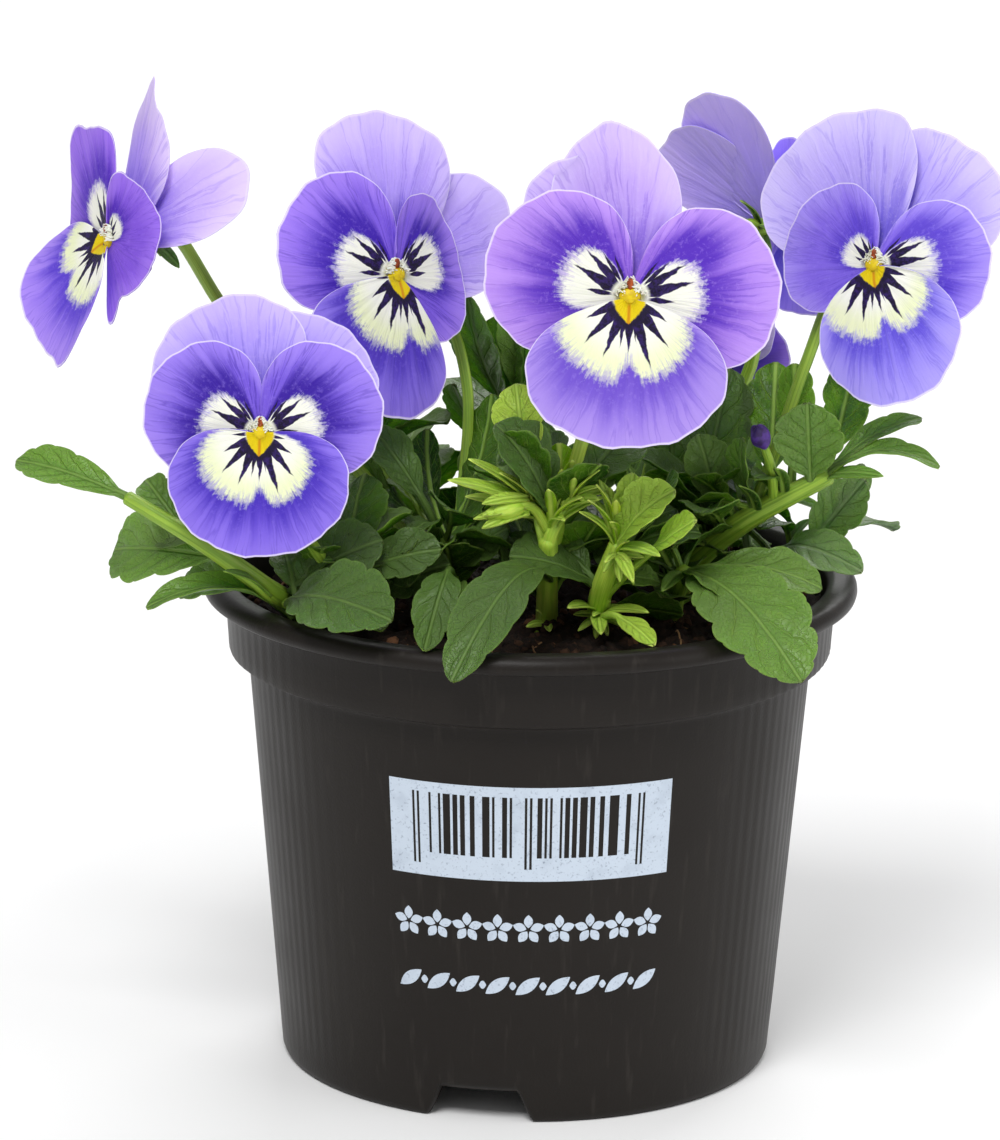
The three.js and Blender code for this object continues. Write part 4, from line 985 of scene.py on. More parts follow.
@dataclass
class NurseryPot:
    """The pot: a fluted conical wall, a stepped collar, a rolled lip, a notched foot and a raised base."""

    rim_radius: float = 50.0
    height: float = 76.0
    lip_height: float = 2.8
    collar_radius: float = 46.6
    collar_bottom: float = 64.6
    body_top_radius: float = 43.2
    foot_radius: float = 37.6
    wall: float = 1.1
    base_rise: float = 5.2
    base_thickness: float = 1.3
    notch_low: float = 16.6
    notch_high: float = 12.0
    notch_height: float = 4.8
    notch_turn: float = -10.8  # degrees from the front to the first notch
    drain_radius: float = 3.2
    drain_ring: float = 22.0
    flutes: int = 108
    flute_depth: float = 0.09
    plain_front: tuple[float, float] = (34.0, 58.0)  # degrees over which the flutes fade in
    columns: int = 540

    def radius(self, z: Array | float) -> Array | float:
        """Outer radius of the wall at a height: a straight line from foot to collar."""
        return self.foot_radius + (self.body_top_radius - self.foot_radius) * z / self.collar_bottom

    def notch(self, angle: Array) -> Array:
        """Height of the wall's lower edge: zero, but a slightly sagging trapezoid over each notch.

        Args:
            angle: radians from the front.

        Returns:
            The heights, in millimetres.
        """
        turn = np.radians(self.notch_turn + 120 * np.arange(3))[:, None]
        off = np.abs((angle[None] - turn + np.pi) % (2 * np.pi) - np.pi).min(0) * self.foot_radius
        slope = self.notch_height / ((self.notch_low - self.notch_high) / 2)
        edge = np.clip((self.notch_low / 2 - off) * slope, 0, self.notch_height)
        return edge - 0.35 * np.sin(np.pi * edge / self.notch_height) * (edge > 0)

    def profile(self) -> Array:
        """The wall's section, from the base's middle underneath, round the foot, up outside, over the
        lip, down inside and back to the middle.

        Returns:
            (n, 4): radius, height, share of the flutes, and how far a point follows the notches up.
        """
        w, lip, floor = self.wall, self.height - self.lip_height, self.base_rise + self.base_thickness
        foot, rim, collar, low, r = (self.foot_radius, self.rim_radius, self.collar_radius, self.base_rise,
                                     self.radius)
        inner = collar - w - 0.3
        rise = np.linspace(3.2, 62.4, 40)
        body = np.stack([r(rise), rise, smooth(2, 9, rise), np.maximum(0, 1 - rise / 8)], -1)
        under = [(0.01, low, 0, 0), (12, low, 0, 0), (24, low, 0, 0), (foot - w - 0.9, low, 0, 0),
                 (foot - w - 0.62, low - 0.12, 0, 0.15)]
        edge = [(foot - w - 0.7, 0.35, 0, 1), (foot - w - 0.55, 0.06, 0, 1), (foot - w - 0.3, 0, 0, 1),
                (foot - 0.85, 0, 0, 1), (foot - 0.45, 0.12, 0, 1), (foot - 0.15, 0.5, 0, 1),
                (r(1.2), 1.2, 0, 0.9)]
        steps = [(r(62.9), 62.9, 1, 0), (r(63.2) + 0.15, 63.3, 1, 0), (r(63.6) + 0.7, 63.7, 1, 0),
                 (collar - 1.2, 64.05, 1, 0), (collar - 0.72, 64.3, 1, 0), (collar - 0.52, 64.8, 1, 0),
                 (collar - 0.42, 66.5, 1, 0), (collar - 0.2, 69.5, 1, 0), (collar, 72.6, 1, 0),
                 (collar + 0.12, 73.0, 0.5, 0), (collar + 0.45, 73.18, 0, 0)]
        roll = [(rim - 1.2, lip, 0, 0), (rim - 0.5, lip + 0.06, 0, 0), (rim - 0.14, lip + 0.35, 0, 0),
                (rim, lip + 0.85, 0, 0), (rim - 0.05, lip + 1.35, 0, 0), (rim - 0.35, lip + 2.0, 0, 0),
                (rim - 0.8, lip + 2.5, 0, 0), (rim - 1.35, lip + 2.76, 0, 0), (rim - 2.0, self.height, 0, 0),
                (inner + 1.5, self.height, 0, 0), (inner + 0.8, self.height - 0.18, 0, 0),
                (inner + 0.35, self.height - 0.6, 0, 0), (inner + 0.05, self.height - 1.4, 0, 0)]
        fall = np.linspace(64.2, floor + 1.2, 16)
        inside = [(inner - 0.05, 70, 0, 0), (inner - 0.1, self.collar_bottom + 1.2, 0, 0),
                  (inner - 0.5, self.collar_bottom + 0.5, 0, 0)]
        inside += [(r(z) - w, z, 0, 0) for z in fall]
        inside += [(r(floor) - w - 0.6, floor, 0, 0), (24, floor, 0, 0), (12, floor, 0, 0),
                   (0.01, floor, 0, 0)]
        return np.vstack([under, edge, body, steps, roll, inside])

    def shell(self) -> Surface:
        """The wall as rings: each point of the profile turned about the axis.

        Flutes of uneven depth take flute_depth * (1 - cos(flutes * a)) / 2 off the radius, thirteen
        broad waves of 0.05 mm lie under them, and both fade out where the print is. The foot's points
        ride up over the notches.

        Returns:
            The closed wall.
        """
        profile = self.profile()
        angle = turns(self.columns)[None]
        radius, z, flute, foot = (profile[:, k:k + 1] for k in range(4))
        front = np.abs((angle + np.pi) % (2 * np.pi) - np.pi)
        show = smooth(*np.radians(self.plain_front), front)
        uneven = 0.6 + 0.4 * np.sin(7 * angle + 1.3) * np.sin(3 * angle)
        cut = self.flute_depth * uneven * (1 - np.cos(self.flutes * angle)) / 2 * flute * show
        broad = 0.05 * np.sin(13 * angle + 0.4) * flute * show
        reach = radius - cut + broad
        height = z + foot * self.notch(angle[0])[None]
        rings = np.stack([reach * np.sin(angle), -reach * np.cos(angle), height + 0 * angle], -1)
        shape = together(angle, z, flute)
        return closed_rings(rings, shape)

    def drill(self, made: bpy.types.Object) -> None:
        """Cuts the six drain holes out of the base.

        Args:
            made: the finished pot, whose mesh is replaced.
        """
        ring = turns(32)
        circle = self.drain_radius * np.stack([np.cos(ring), np.sin(ring), 0 * ring], -1)
        pins = []
        for turn in range(0, 360, 60):
            x, y = self.drain_ring * np.array(cos_sin(turn))
            path = np.array([[x, y, self.base_rise + z] for z in (-2, 0.3, 4)])
            pins.append(closed_rings(path[:, None] + circle[None], np.zeros((3, 32, 3))))
        cutter = put("drain_cutter", mesh_of("drain_cutter", pins))
        cut = made.modifiers.new("drains", "BOOLEAN")
        cut.object, cut.operation, cut.solver = cutter, "DIFFERENCE", "EXACT"
        drilled = bpy.data.meshes.new_from_object(made.evaluated_get(bpy.context.evaluated_depsgraph_get()))
        made.modifiers.clear()
        made.data = drilled
        bpy.data.objects.remove(cutter)

    def make(self) -> bpy.types.Object:
        """Builds the pot and cuts its drain holes.

        Returns:
            The finished object.
        """
        finish = PotPlastic().material()
        made = Piece("nursery_pot", [self.shell()], [finish], "pot", "pot_plastic", 38).make()
        self.drill(made)
        return made


@dataclass
class PotPrint:
    """What is printed on the pot's front: a panel of plain bars and two plain borders under it.

    Left and right are in degrees from the front, heights in millimetres.
    """

    pot: NurseryPot
    left: float = -29.4
    right: float = 30.2
    bottom: float = 39.2
    top: float = 54.1
    bars_left: float = -24.3
    bars_right: float = 24.2
    bar_top: float = 52.5
    bar_foot: float = 42.9
    guard_foot: float = 41.1
    modules: int = 95
    seed: int = 11
    film: float = 0.05
    border_left: float = -26.0
    border_right: float = 26.4
    border_count: int = 9
    rosettes: float = 31.45
    leaves: float = 22.35

    def on_wall(self, turn: Array, z: Array) -> Array:
        """Points on the pot's wall, at angles in degrees from the front and at heights.

        Args:
            turn: degrees from the front.
            z: heights.

        Returns:
            The points.
        """
        r = self.pot.radius(z) + 0.01
        a = np.radians(turn)
        return np.stack([r * np.sin(a), -r * np.cos(a), z + 0 * a], -1)

    def is_bar(self) -> tuple[Array, Array]:
        """Which modules are bars, and which of those are long guards.

        Bars of one to four modules and gaps of one to three follow each other by a seeded draw,
        between pairs of guard bars at both ends and in the middle.

        Returns:
            For each module whether it is a bar, and whether it is a guard.
        """
        draw = np.random.default_rng(self.seed)
        bar = np.zeros(self.modules, dtype=bool)
        guard = np.zeros(self.modules, dtype=bool)
        middle = self.modules // 2
        for k in (0, 2, middle - 1, middle + 1, self.modules - 3, self.modules - 1):
            bar[k] = guard[k] = True
        for low, high in ((4, middle - 2), (middle + 3, self.modules - 4)):
            widths = draw.choice([1, 1, 2, 2, 3, 4], 40)
            gaps = draw.choice([1, 1, 2, 3], 40)
            starts = low + np.cumsum(widths + gaps) - widths
            for start, width in zip(starts, widths):
                if start + width < high:
                    bar[start:start + width] = True
        return bar, guard

    def panel(self) -> list[Surface]:
        """Ink everywhere on the panel but on the bars: closed films above, below, beside and between.

        Returns:
            The films.
        """
        bar, guard = self.is_bar()
        step = (self.bars_right - self.bars_left) / self.modules
        edges = self.bars_left + step * np.arange(self.modules + 1)
        films = [self.ink(self.left, self.right, self.bar_top, self.top, 60),
                 self.ink(self.left, self.right, self.bottom, self.guard_foot, 60),
                 self.ink(self.left, self.bars_left, self.guard_foot, self.bar_top, 6),
                 self.ink(self.bars_right, self.right, self.guard_foot, self.bar_top, 6)]
        for level, low, high in ((bar, self.bar_foot, self.bar_top), (guard, self.guard_foot, self.bar_foot)):
            inked = np.concatenate([[False], ~level, [False]])
            change = np.flatnonzero(inked[1:] != inked[:-1])
            for start, end in zip(change[::2], change[1::2]):
                films.append(self.ink(edges[start], edges[end], low, high, max(2, end - start)))
        return films

    def ink(self, left: float, right: float, low: float, high: float, pieces: int) -> Surface:
        """A rectangle of ink that follows the wall: its grid runs over angle and height."""
        turn, z = np.meshgrid(np.linspace(left, right, pieces + 1), np.linspace(low, high, 4))
        return sheet(self.on_wall(turn, z), self.film, np.zeros((*turn.shape, 3)))

    def lens(self, turn: float, z: float, length: float, width: float, tilt: float) -> Surface:
        """A small lens of ink: its half width falls off as 1 - u^2 along it.

        Args:
            turn: where its middle is, in degrees from the front.
            z: its middle's height.
            length: from tip to tip.
            width: across its middle.
            tilt: degrees that it is turned.

        Returns:
            The closed film.
        """
        u, v = np.meshgrid(np.linspace(-0.98, 0.98, 13), np.linspace(-1, 1, 5))
        along, across = u * length / 2, v * width / 2 * (1 - u * u)
        c, s = cos_sin(tilt)
        x, y = along * c - across * s, along * s + across * c
        points = self.on_wall(turn + np.degrees(x / self.pot.radius(z)), z + y)
        return sheet(points, self.film, np.zeros((*u.shape, 3)))

    def marks(self) -> list[Surface]:
        """Two plain borders: a row of five-petalled rosettes, and a row of leaves with dots between.

        A rosette's petals are 1.35 mm from its middle, 72 degrees apart.

        Returns:
            The films.
        """
        made, out, wall = [], 1.35, 40.0  # wall: about its radius here
        for k, turn in enumerate(np.linspace(self.border_left, self.border_right, self.border_count)):
            for clock in range(90, 450, 72):
                c, s = cos_sin(clock)
                middle = turn + math.degrees(out * c / wall)
                made.append(self.lens(middle, self.rosettes + out * s, 2.1, 1.35, clock))
            made.append(self.lens(turn, self.leaves, 4.6, 1.9, 38))
            if k < self.border_count - 1:
                made.append(self.lens(turn + 3.3, self.leaves, 1.1, 1.3, 0))
        return made

    def make(self) -> bpy.types.Object:
        """Builds the whole print in one piece."""
        return Piece("pot_print", self.panel() + self.marks(), [PrintInk().material()], auto_smooth=30).make()


@dataclass
class PeatFill:
    """The peat: a lumpy closed body, crumbs strewn on it, and fibres."""

    pot: NurseryPot
    top: float = 70.0
    sunk: float = 0.6  # how far its level at the wall is below its top
    rise: float = 0.9  # from there to the middle
    crumbs: int = 1500
    foot_crumbs: int = 26
    fibres: int = 46
    strewn: float = 43.0
    seed: int = 5
    # Place across and along, width and height of each heap.
    heaps: tuple[tuple[float, float, float, float], ...] = ((35, 22, 11, 3.4), (42.5, -4, 8, 3.6))

    def relief(self, x: Array, y: Array) -> Array:
        """Height of the surface over its level.

        It is the solid's broad waves, a seeded sum of finer ones whose heights fall off with their
        pitch, a mound round the foot of each stem, and bell-shaped heaps against the right-hand wall.

        Args:
            x: places across.
            y: places along.

        Returns:
            The heights.
        """
        broad = 0.9 * (0.5 * np.sin(0.43 * x + 1.1) * np.cos(0.51 * y - 0.4) + 0.3 * np.sin(0.9 * x - 0.7 * y)
                       + 0.2 * np.cos(1.3 * x + 1.7 * y))
        draw = np.random.default_rng(self.seed)
        pitch = draw.uniform(1.2, 7.0, 46)
        turn, phase = draw.uniform(0, 2 * np.pi, (2, 46))
        way = x[..., None] * np.cos(turn) + y[..., None] * np.sin(turn)
        waves = np.sin(way * pitch + phase) / pitch**0.9
        mounds = sum(1.5 * np.exp(-(((x - fx) ** 2 + (y - fy) ** 2) / (2.2 + r) ** 2) ** 1.5)
                     for fx, fy, r in STEM_FEET)
        heaps = sum(high * np.exp(-((x - hx) ** 2 + (y - hy) ** 2) / wide**2)
                    for hx, hy, wide, high in self.heaps)
        return broad + 0.16 * waves.sum(-1) + mounds + heaps

    def body(self) -> Surface:
        """Rings from the middle of the bottom, up the pot's inside and in over the lumpy top.

        Returns:
            The closed body.
        """
        inner = self.pot.collar_radius - self.pot.wall - 0.9
        floor = self.pot.base_rise + self.pot.base_thickness + 0.3
        side = np.array([(0.1, floor), (20, floor), (35.2, floor), (36.2, floor + 2), (41.2, 62), (42.0, 65),
                         (inner, 66.2), (inner, 68.4)])
        over = np.linspace(inner - 0.15, 0.2, 110)
        radius = np.concatenate([side[:, 0], over])
        level = np.concatenate([side[:, 1], self.top - self.sunk + self.rise * smooth(44.5, 36, over)])
        angle = turns(240)[None]
        x, y = radius[:, None] * np.sin(angle), -radius[:, None] * np.cos(angle)
        lumpy = (np.arange(len(radius)) >= len(side))[:, None]
        z = level[:, None] + np.where(lumpy, self.relief(x, y), 0.0)
        shape = together(angle, level[:, None], 1.0)
        return closed_rings(np.stack([x, y, z], -1), shape, tone=0.25)

    def crumb(self, x: float, y: float, size: float, turn: float, tone: float) -> Surface:
        """A lump: a small ball whose radius varies with its direction, half sunk in.

        Args:
            x: its place across.
            y: its place along.
            size: about its radius.
            turn: the direction of its long axis, and what sets its form apart.
            tone: its colour among the browns.

        Returns:
            The closed lump.
        """
        lift = float(self.relief(np.array(x), np.array(y)))
        centre = np.array([x, y, self.top - 0.1 + lift + size * 0.25])
        axis = np.array([math.cos(turn), math.sin(turn), 0.6])
        lump = ellipsoid(centre, axis, size * 0.8, size * 1.1, 3, 6, tone=tone)
        out = lump.points - centre
        bulge = 1 + 0.22 * np.sin(out @ np.array([3.1, 2.3, 4.7]) / size + turn)
        lump.points = centre + out * bulge[:, None]
        return lump

    def fibre(self, draw: np.random.Generator) -> Surface | None:
        """A drawn fibre, a shallow arc just over the peat, or nothing if it would reach the wall.

        Args:
            draw: gives its place, direction, length and thickness.

        Returns:
            The fibre, or nothing.
        """
        r, a = (self.strewn - 1) * math.sqrt(draw.uniform()), draw.uniform(0, 2 * np.pi)
        heading = draw.uniform(0, 2 * np.pi)
        way = np.linspace(-0.5, 0.5, 9) * draw.uniform(2.5, 7)
        bow = draw.uniform(-0.25, 0.25) * way**2
        x = r * math.sin(a) + way * math.cos(heading) - bow * math.sin(heading)
        y = -r * math.cos(a) + way * math.sin(heading) + bow * math.cos(heading)
        if np.hypot(x, y).max() >= self.strewn + 0.6:
            return None
        z = self.top + 0.1 + self.relief(x, y) + draw.uniform(0.1, 0.5)
        return tube(np.stack([x, y, z], -1), np.full(9, draw.uniform(0.09, 0.2)), 5, finish=1)

    def make(self) -> bpy.types.Object:
        """Strews crumbs and fibres by a seeded draw, and builds all the peat in one piece.

        Returns:
            The finished object.
        """
        draw = np.random.default_rng(self.seed + 1)
        surfaces = [self.body()]
        reach = self.strewn * np.sqrt(draw.uniform(0, 1, self.crumbs))
        turn = draw.uniform(0, 2 * np.pi, self.crumbs)
        size = 0.35 + 0.9 * draw.uniform(0, 1, self.crumbs) ** 2.5
        tone = draw.uniform(0, 1, self.crumbs)
        for r, a, s, t in zip(reach, turn, size, tone):
            surfaces.append(self.crumb(r * math.sin(a), -r * math.cos(a), s, a * 7, t))
        for x, y, r in STEM_FEET:
            for a in draw.uniform(0, 2 * np.pi, self.foot_crumbs):
                off = r + draw.uniform(-0.1, 0.9)
                place = x + off * math.cos(a), y + off * math.sin(a)
                surfaces.append(self.crumb(*place, draw.uniform(0.5, 1.1), a, draw.uniform()))
        fibres = [self.fibre(draw) for _ in range(self.fibres)]
        surfaces += [fibre for fibre in fibres if fibre]
        return Piece("peat_fill", surfaces, [Peat().material(), Fibre().material()], "soil", "peat").make()


@dataclass(frozen=True)
class Leaf:
    """A stalked leaf with a rounded, scalloped blade.

    Its petiole is the stalk's share of the whole length, its roll is in degrees, and rows counts the
    rows of its grid to a scallop. An old leaf wears its shoot's third finish.
    """

    base: Point
    tip: Point
    half_width: float
    roll: float
    petiole: float
    bow: float
    cup: float
    scallops: int
    notch: float = 0.13
    petiole_half: float = 0.75
    old: bool = False
    rows: int = 16
    columns: int = 19

    def surface(self, tone: float) -> Surface:
        """The blade as a sheet over (share along, share across).

        The midrib is an arc from base to tip. The half width is half_width * sqrt(sin(pi s^1.5))
        past the petiole, and each scallop rounds off as |sin| between two cuts, with a shallower cut
        in its middle. The halves fold up by cup * across^2, the margin ripples, and the skin bulges
        between the side veins.

        Args:
            tone: sets this leaf's colour apart from its neighbours'.

        Returns:
            The closed blade.
        """
        base, tip = np.array(self.base), np.array(self.tip)
        normal, side = blade_frame(base, tip, self.roll)
        run = tip - base
        cuts = 2 * (self.scallops + 1)
        k = np.linspace(0, cuts, self.rows * (self.scallops + 1) + 1)
        share = np.sin(np.pi / 2 * k / cuts)
        cut = (self.notch * (1 - np.abs(np.sin(np.pi * k / 2)) ** 0.7)
               + 0.05 * (1 - np.abs(np.sin(np.pi * k)) ** 0.6))
        outline = np.sqrt(np.maximum(np.sin(np.pi * share**1.5), 0)) * (1 - cut)
        stalk = np.linspace(0, 1, 5)[:-1]
        t = np.concatenate([stalk * self.petiole, self.petiole + (1 - self.petiole) * share])[:, None]
        outline = np.concatenate([0 * stalk, outline])[:, None]
        narrow = self.petiole_half * (1 - smooth(0.93, 1.0, t)) * (1 - 0.45 * t)
        half = np.maximum(self.half_width * outline, narrow)
        half[-1] = 0.12
        s = np.sin(np.linspace(-np.pi / 2, np.pi / 2, self.columns))[None]
        middle = base + run * t + normal * (self.bow * 4 * t * (1 - t))
        tangent = unit(run + normal * (self.bow * 4 * (1 - 2 * t)))
        across = unit(side - tangent * (tangent @ side)[:, None])
        above = np.cross(across, tangent)
        fold = self.cup * smooth(0.8, 2.2, half)
        blade = smooth(self.petiole, self.petiole + 0.12, t)
        ripple = 0.05 * half * np.abs(s) ** 3 * np.sin(t * 23 + self.roll + 2 * np.sign(s)) * blade
        between = np.sin(2 * np.pi * SIDE_VEINS * (t - VEIN_LEAN * np.abs(s)))
        bulge = 0.075 * half * between * (1 - s**2) * np.abs(s) ** 0.5 * blade
        groove = -0.16 * np.exp(-((s * half / 0.45) ** 2)) * blade
        lift = fold * s**2 * half + ripple + bulge + groove
        wide = s * half * np.sqrt(1 - 0.5 * fold**2)
        grid = middle[:, None] + across[:, None] * wide[..., None] + above[:, None] * lift[..., None]
        stem = 1.15 * np.sqrt(np.maximum(1 - s**2, 0.02)) * (1 - blade)
        thick = stem + blade * (0.16 + 0.34 * np.exp(-((s * half / 0.6) ** 2)))
        along = (t - self.petiole) / (1 - self.petiole)
        return sheet(grid, thick, together(s, along, half), tone=tone,
                     finish=2 if self.old else 0)


@dataclass(frozen=True)
class Lobe:
    """A slender pointed stipule, sepal or young leaf, turned so that its face shows from the front."""

    base: Array
    tip: Array
    half_width: float
    bend: float = 0.8

    def surface(self, tone: float, finish: int = 0) -> Surface:
        """A lance-shaped sheet of half width half_width * (0.6 + 0.9t)(1 - t^3)^0.8, bent up by
        bend * sin(pi t) and folded up along its middle.

        Args:
            tone: sets it apart from its neighbours.
            finish: which finish of its shoot it wears.

        Returns:
            The closed lobe.
        """
        base, tip = np.asarray(self.base, float), np.asarray(self.tip, float)
        normal, side = blade_frame(base, tip, 45 * unit(tip - base)[0])
        t = np.linspace(0, 1, 15)[:, None]
        s = np.linspace(-1, 1, 7)[None]
        half = np.maximum(self.half_width * (0.6 + 0.9 * t) * (1 - t**3) ** 0.8, 0.05)
        lift = self.bend * np.sin(np.pi * t) + 0.3 * half * s**2
        grid = (base + (tip - base) * t)[:, None] + side * (s * half)[..., None] + normal * lift[..., None]
        thick = 0.22 + 0.45 * (1 - s**2) * (1 - t)
        return sheet(grid, thick, together(s, t, half), tone=tone, finish=finish)


@dataclass(frozen=True)
class Tuft:
    """A tuft of narrow young leaves from one point, leaning up to spread degrees off its axis."""

    base: Point
    axis: Point
    count: int
    length: float
    half_width: float
    spread: float

    def lobes(self) -> list[Lobe]:
        """Leaf k leans off the axis by spread * sqrt(share), with share = (k + 0.5) / count, a golden
        angle on from the one before; outer leaves are up to a third shorter.

        Returns:
            The leaves.
        """
        axis = unit(np.array(self.axis, dtype=float))
        one = unit(np.cross(axis, np.array([0.2, 0.9, 0.4])))
        two = np.cross(axis, one)
        made = []
        for k in range(self.count):
            share = (k + 0.5) / self.count
            lean, turn = math.radians(self.spread) * math.sqrt(share), math.radians(GOLDEN_ANGLE) * k
            way = axis * math.cos(lean) + (one * math.cos(turn) + two * math.sin(turn)) * math.sin(lean)
            long = self.length * (1 - 0.35 * share + 0.12 * math.sin(5 * k))
            base = np.array(self.base, dtype=float)
            made.append(Lobe(base, base + way * long, self.half_width, 0.1 * self.length))
        return made


@dataclass(frozen=True)
class Petal:
    """One petal.

    Clock is its direction about the throat in degrees, 0 to the right and 90 up, and spread its half
    angle there. Its marks are centred on the clock direction marks and shrink times smaller than its
    bloom's. A tip has an angle from the petal's middle, a gain and a width in degrees.
    """

    clock: float
    length: float
    spread: float
    power: float
    tilt: float
    cup: float
    bend: float
    wave: float
    waves: float
    phase: float
    layer: float
    marks: float = 90.0
    shrink: float = 1.0
    tips: tuple[tuple[float, float, float], ...] = ()

    def surface(self, bloom: Bloom, kind: PetalKind, tone: float, finish: int) -> Surface:
        """The petal as a sheet over (share outwards, share round).

        In polar form its outline is length * sqrt(1 - |angle / spread|^power). It leans by tilt,
        bows by cup across and bend along, waves towards its edge, steps off its neighbours within a
        few millimetres of the throat, ruffles finely at its margin and carries faint radial pleats.
        Each tip draws the outline out by gain times a bell curve about its angle.

        Args:
            bloom: the bloom it grows in.
            kind: which petal it is.
            tone: sets this petal apart.
            finish: which finish of the bloom it wears.

        Returns:
            The closed petal.
        """
        right, up, out = bloom.axes()
        throat = np.array(bloom.throat)
        c, s = cos_sin(self.clock)
        a, side = right * c + up * s, right * s - up * c
        ahead, lean = cos_sin(self.tilt)
        along, normal = a * ahead + out * lean, out * ahead - a * lean
        close = 0.9 + 0.1 * np.sin(np.linspace(0, np.pi / 2, 9))[1:]
        rho = np.concatenate([np.linspace(0.05, 0.9, 26), close])[:, None]
        turn = np.sin(np.linspace(-np.pi / 2, np.pi / 2, 65))[None]
        angle = np.radians(self.spread) * 0.985 * turn
        share = np.hypot(angle / np.radians(self.spread), 0.03)
        ruffle = 0.008 * np.sin(13 * angle + 3 * self.phase) + 0.006 * np.sin(29 * angle + self.clock)
        edge = 1 + rho**4 * ruffle
        for at, gain, width in self.tips:
            edge = edge + gain * rho**2 * np.exp(-((np.degrees(angle) - at) / width) ** 2)
        reach = rho * self.length * np.sqrt(1 - share**self.power) * edge
        x = reach * np.sin(angle)
        height = (self.layer * (1 - np.exp(-reach / 1.6)) + self.cup * x * x / self.length
                  + self.bend * reach * reach / self.length
                  + self.wave * self.length * rho**3 * np.sin(self.waves * angle + self.phase))
        height = height + 0.012 * self.length * rho**5 * np.sin(9 * angle + 2 * self.phase + self.clock)
        height = height + 0.05 * np.sin(38 * angle + self.clock) * smooth(0.15, 0.5, rho) * (1 - 0.5 * rho)
        outward = reach * np.cos(angle)
        grid = throat + side * x[..., None] + along * outward[..., None] + normal * height[..., None]
        thick = 0.4 - 0.27 * rho**2 + 0 * angle
        if kind is PetalKind.UPPER:
            marks, span = np.degrees(angle), self.length
        else:
            mirror = -1.0 if kind is PetalKind.SIDE and c > 0 else 1.0
            marks = (self.marks - self.clock + np.degrees(angle)) * mirror
            span = bloom.size / self.shrink
        shape = together(marks, reach / span, -rho)
        return sheet(grid, thick, shape, tone=tone, finish=finish)


@dataclass(frozen=True)
class Palette:
    """The colours of a bloom's petals: each round the patch or at the base, in the middle, outwards."""

    upper: tuple[Colour, Colour, Colour]
    side: tuple[Colour, Colour, Colour]
    lower: tuple[Colour, Colour, Colour]


PINK_LILAC = Palette(
    ((136, 102, 214), (186, 158, 238), (206, 184, 248)),
    ((84, 42, 180), (142, 100, 214), (184, 146, 238)),
    ((108, 78, 198), (136, 108, 216), (168, 142, 230)),
)
BLUE_LILAC = Palette(
    ((122, 104, 218), (180, 164, 242), (206, 194, 250)),
    ((92, 66, 200), (130, 104, 224), (162, 142, 240)),
    ((96, 80, 210), (136, 122, 234), (166, 154, 244)),
)
FAR_LILAC = Palette(
    ((150, 122, 226), (200, 176, 248), (222, 202, 252)),
    ((76, 30, 178), (126, 82, 214), (154, 112, 234)),
    ((88, 60, 200), (138, 108, 230), (168, 138, 244)),
)
BACK_LILAC = Palette(
    ((126, 104, 236), (174, 154, 252), (202, 184, 254)),
    ((84, 56, 212), (132, 106, 244), (170, 148, 252)),
    ((90, 70, 214), (134, 116, 244), (170, 152, 252)),
)
DEEP_VIOLET = Palette(
    ((120, 100, 218), (172, 152, 244), (196, 178, 250)),
    ((54, 22, 152), (114, 86, 210), (152, 126, 232)),
    ((72, 48, 180), (108, 82, 212), (138, 114, 230)),
)
MID_VIOLET = Palette(
    ((118, 92, 208), (176, 154, 240), (204, 186, 250)),
    ((62, 30, 166), (122, 90, 216), (156, 124, 234)),
    ((78, 54, 180), (110, 88, 206), (140, 118, 224)),
)


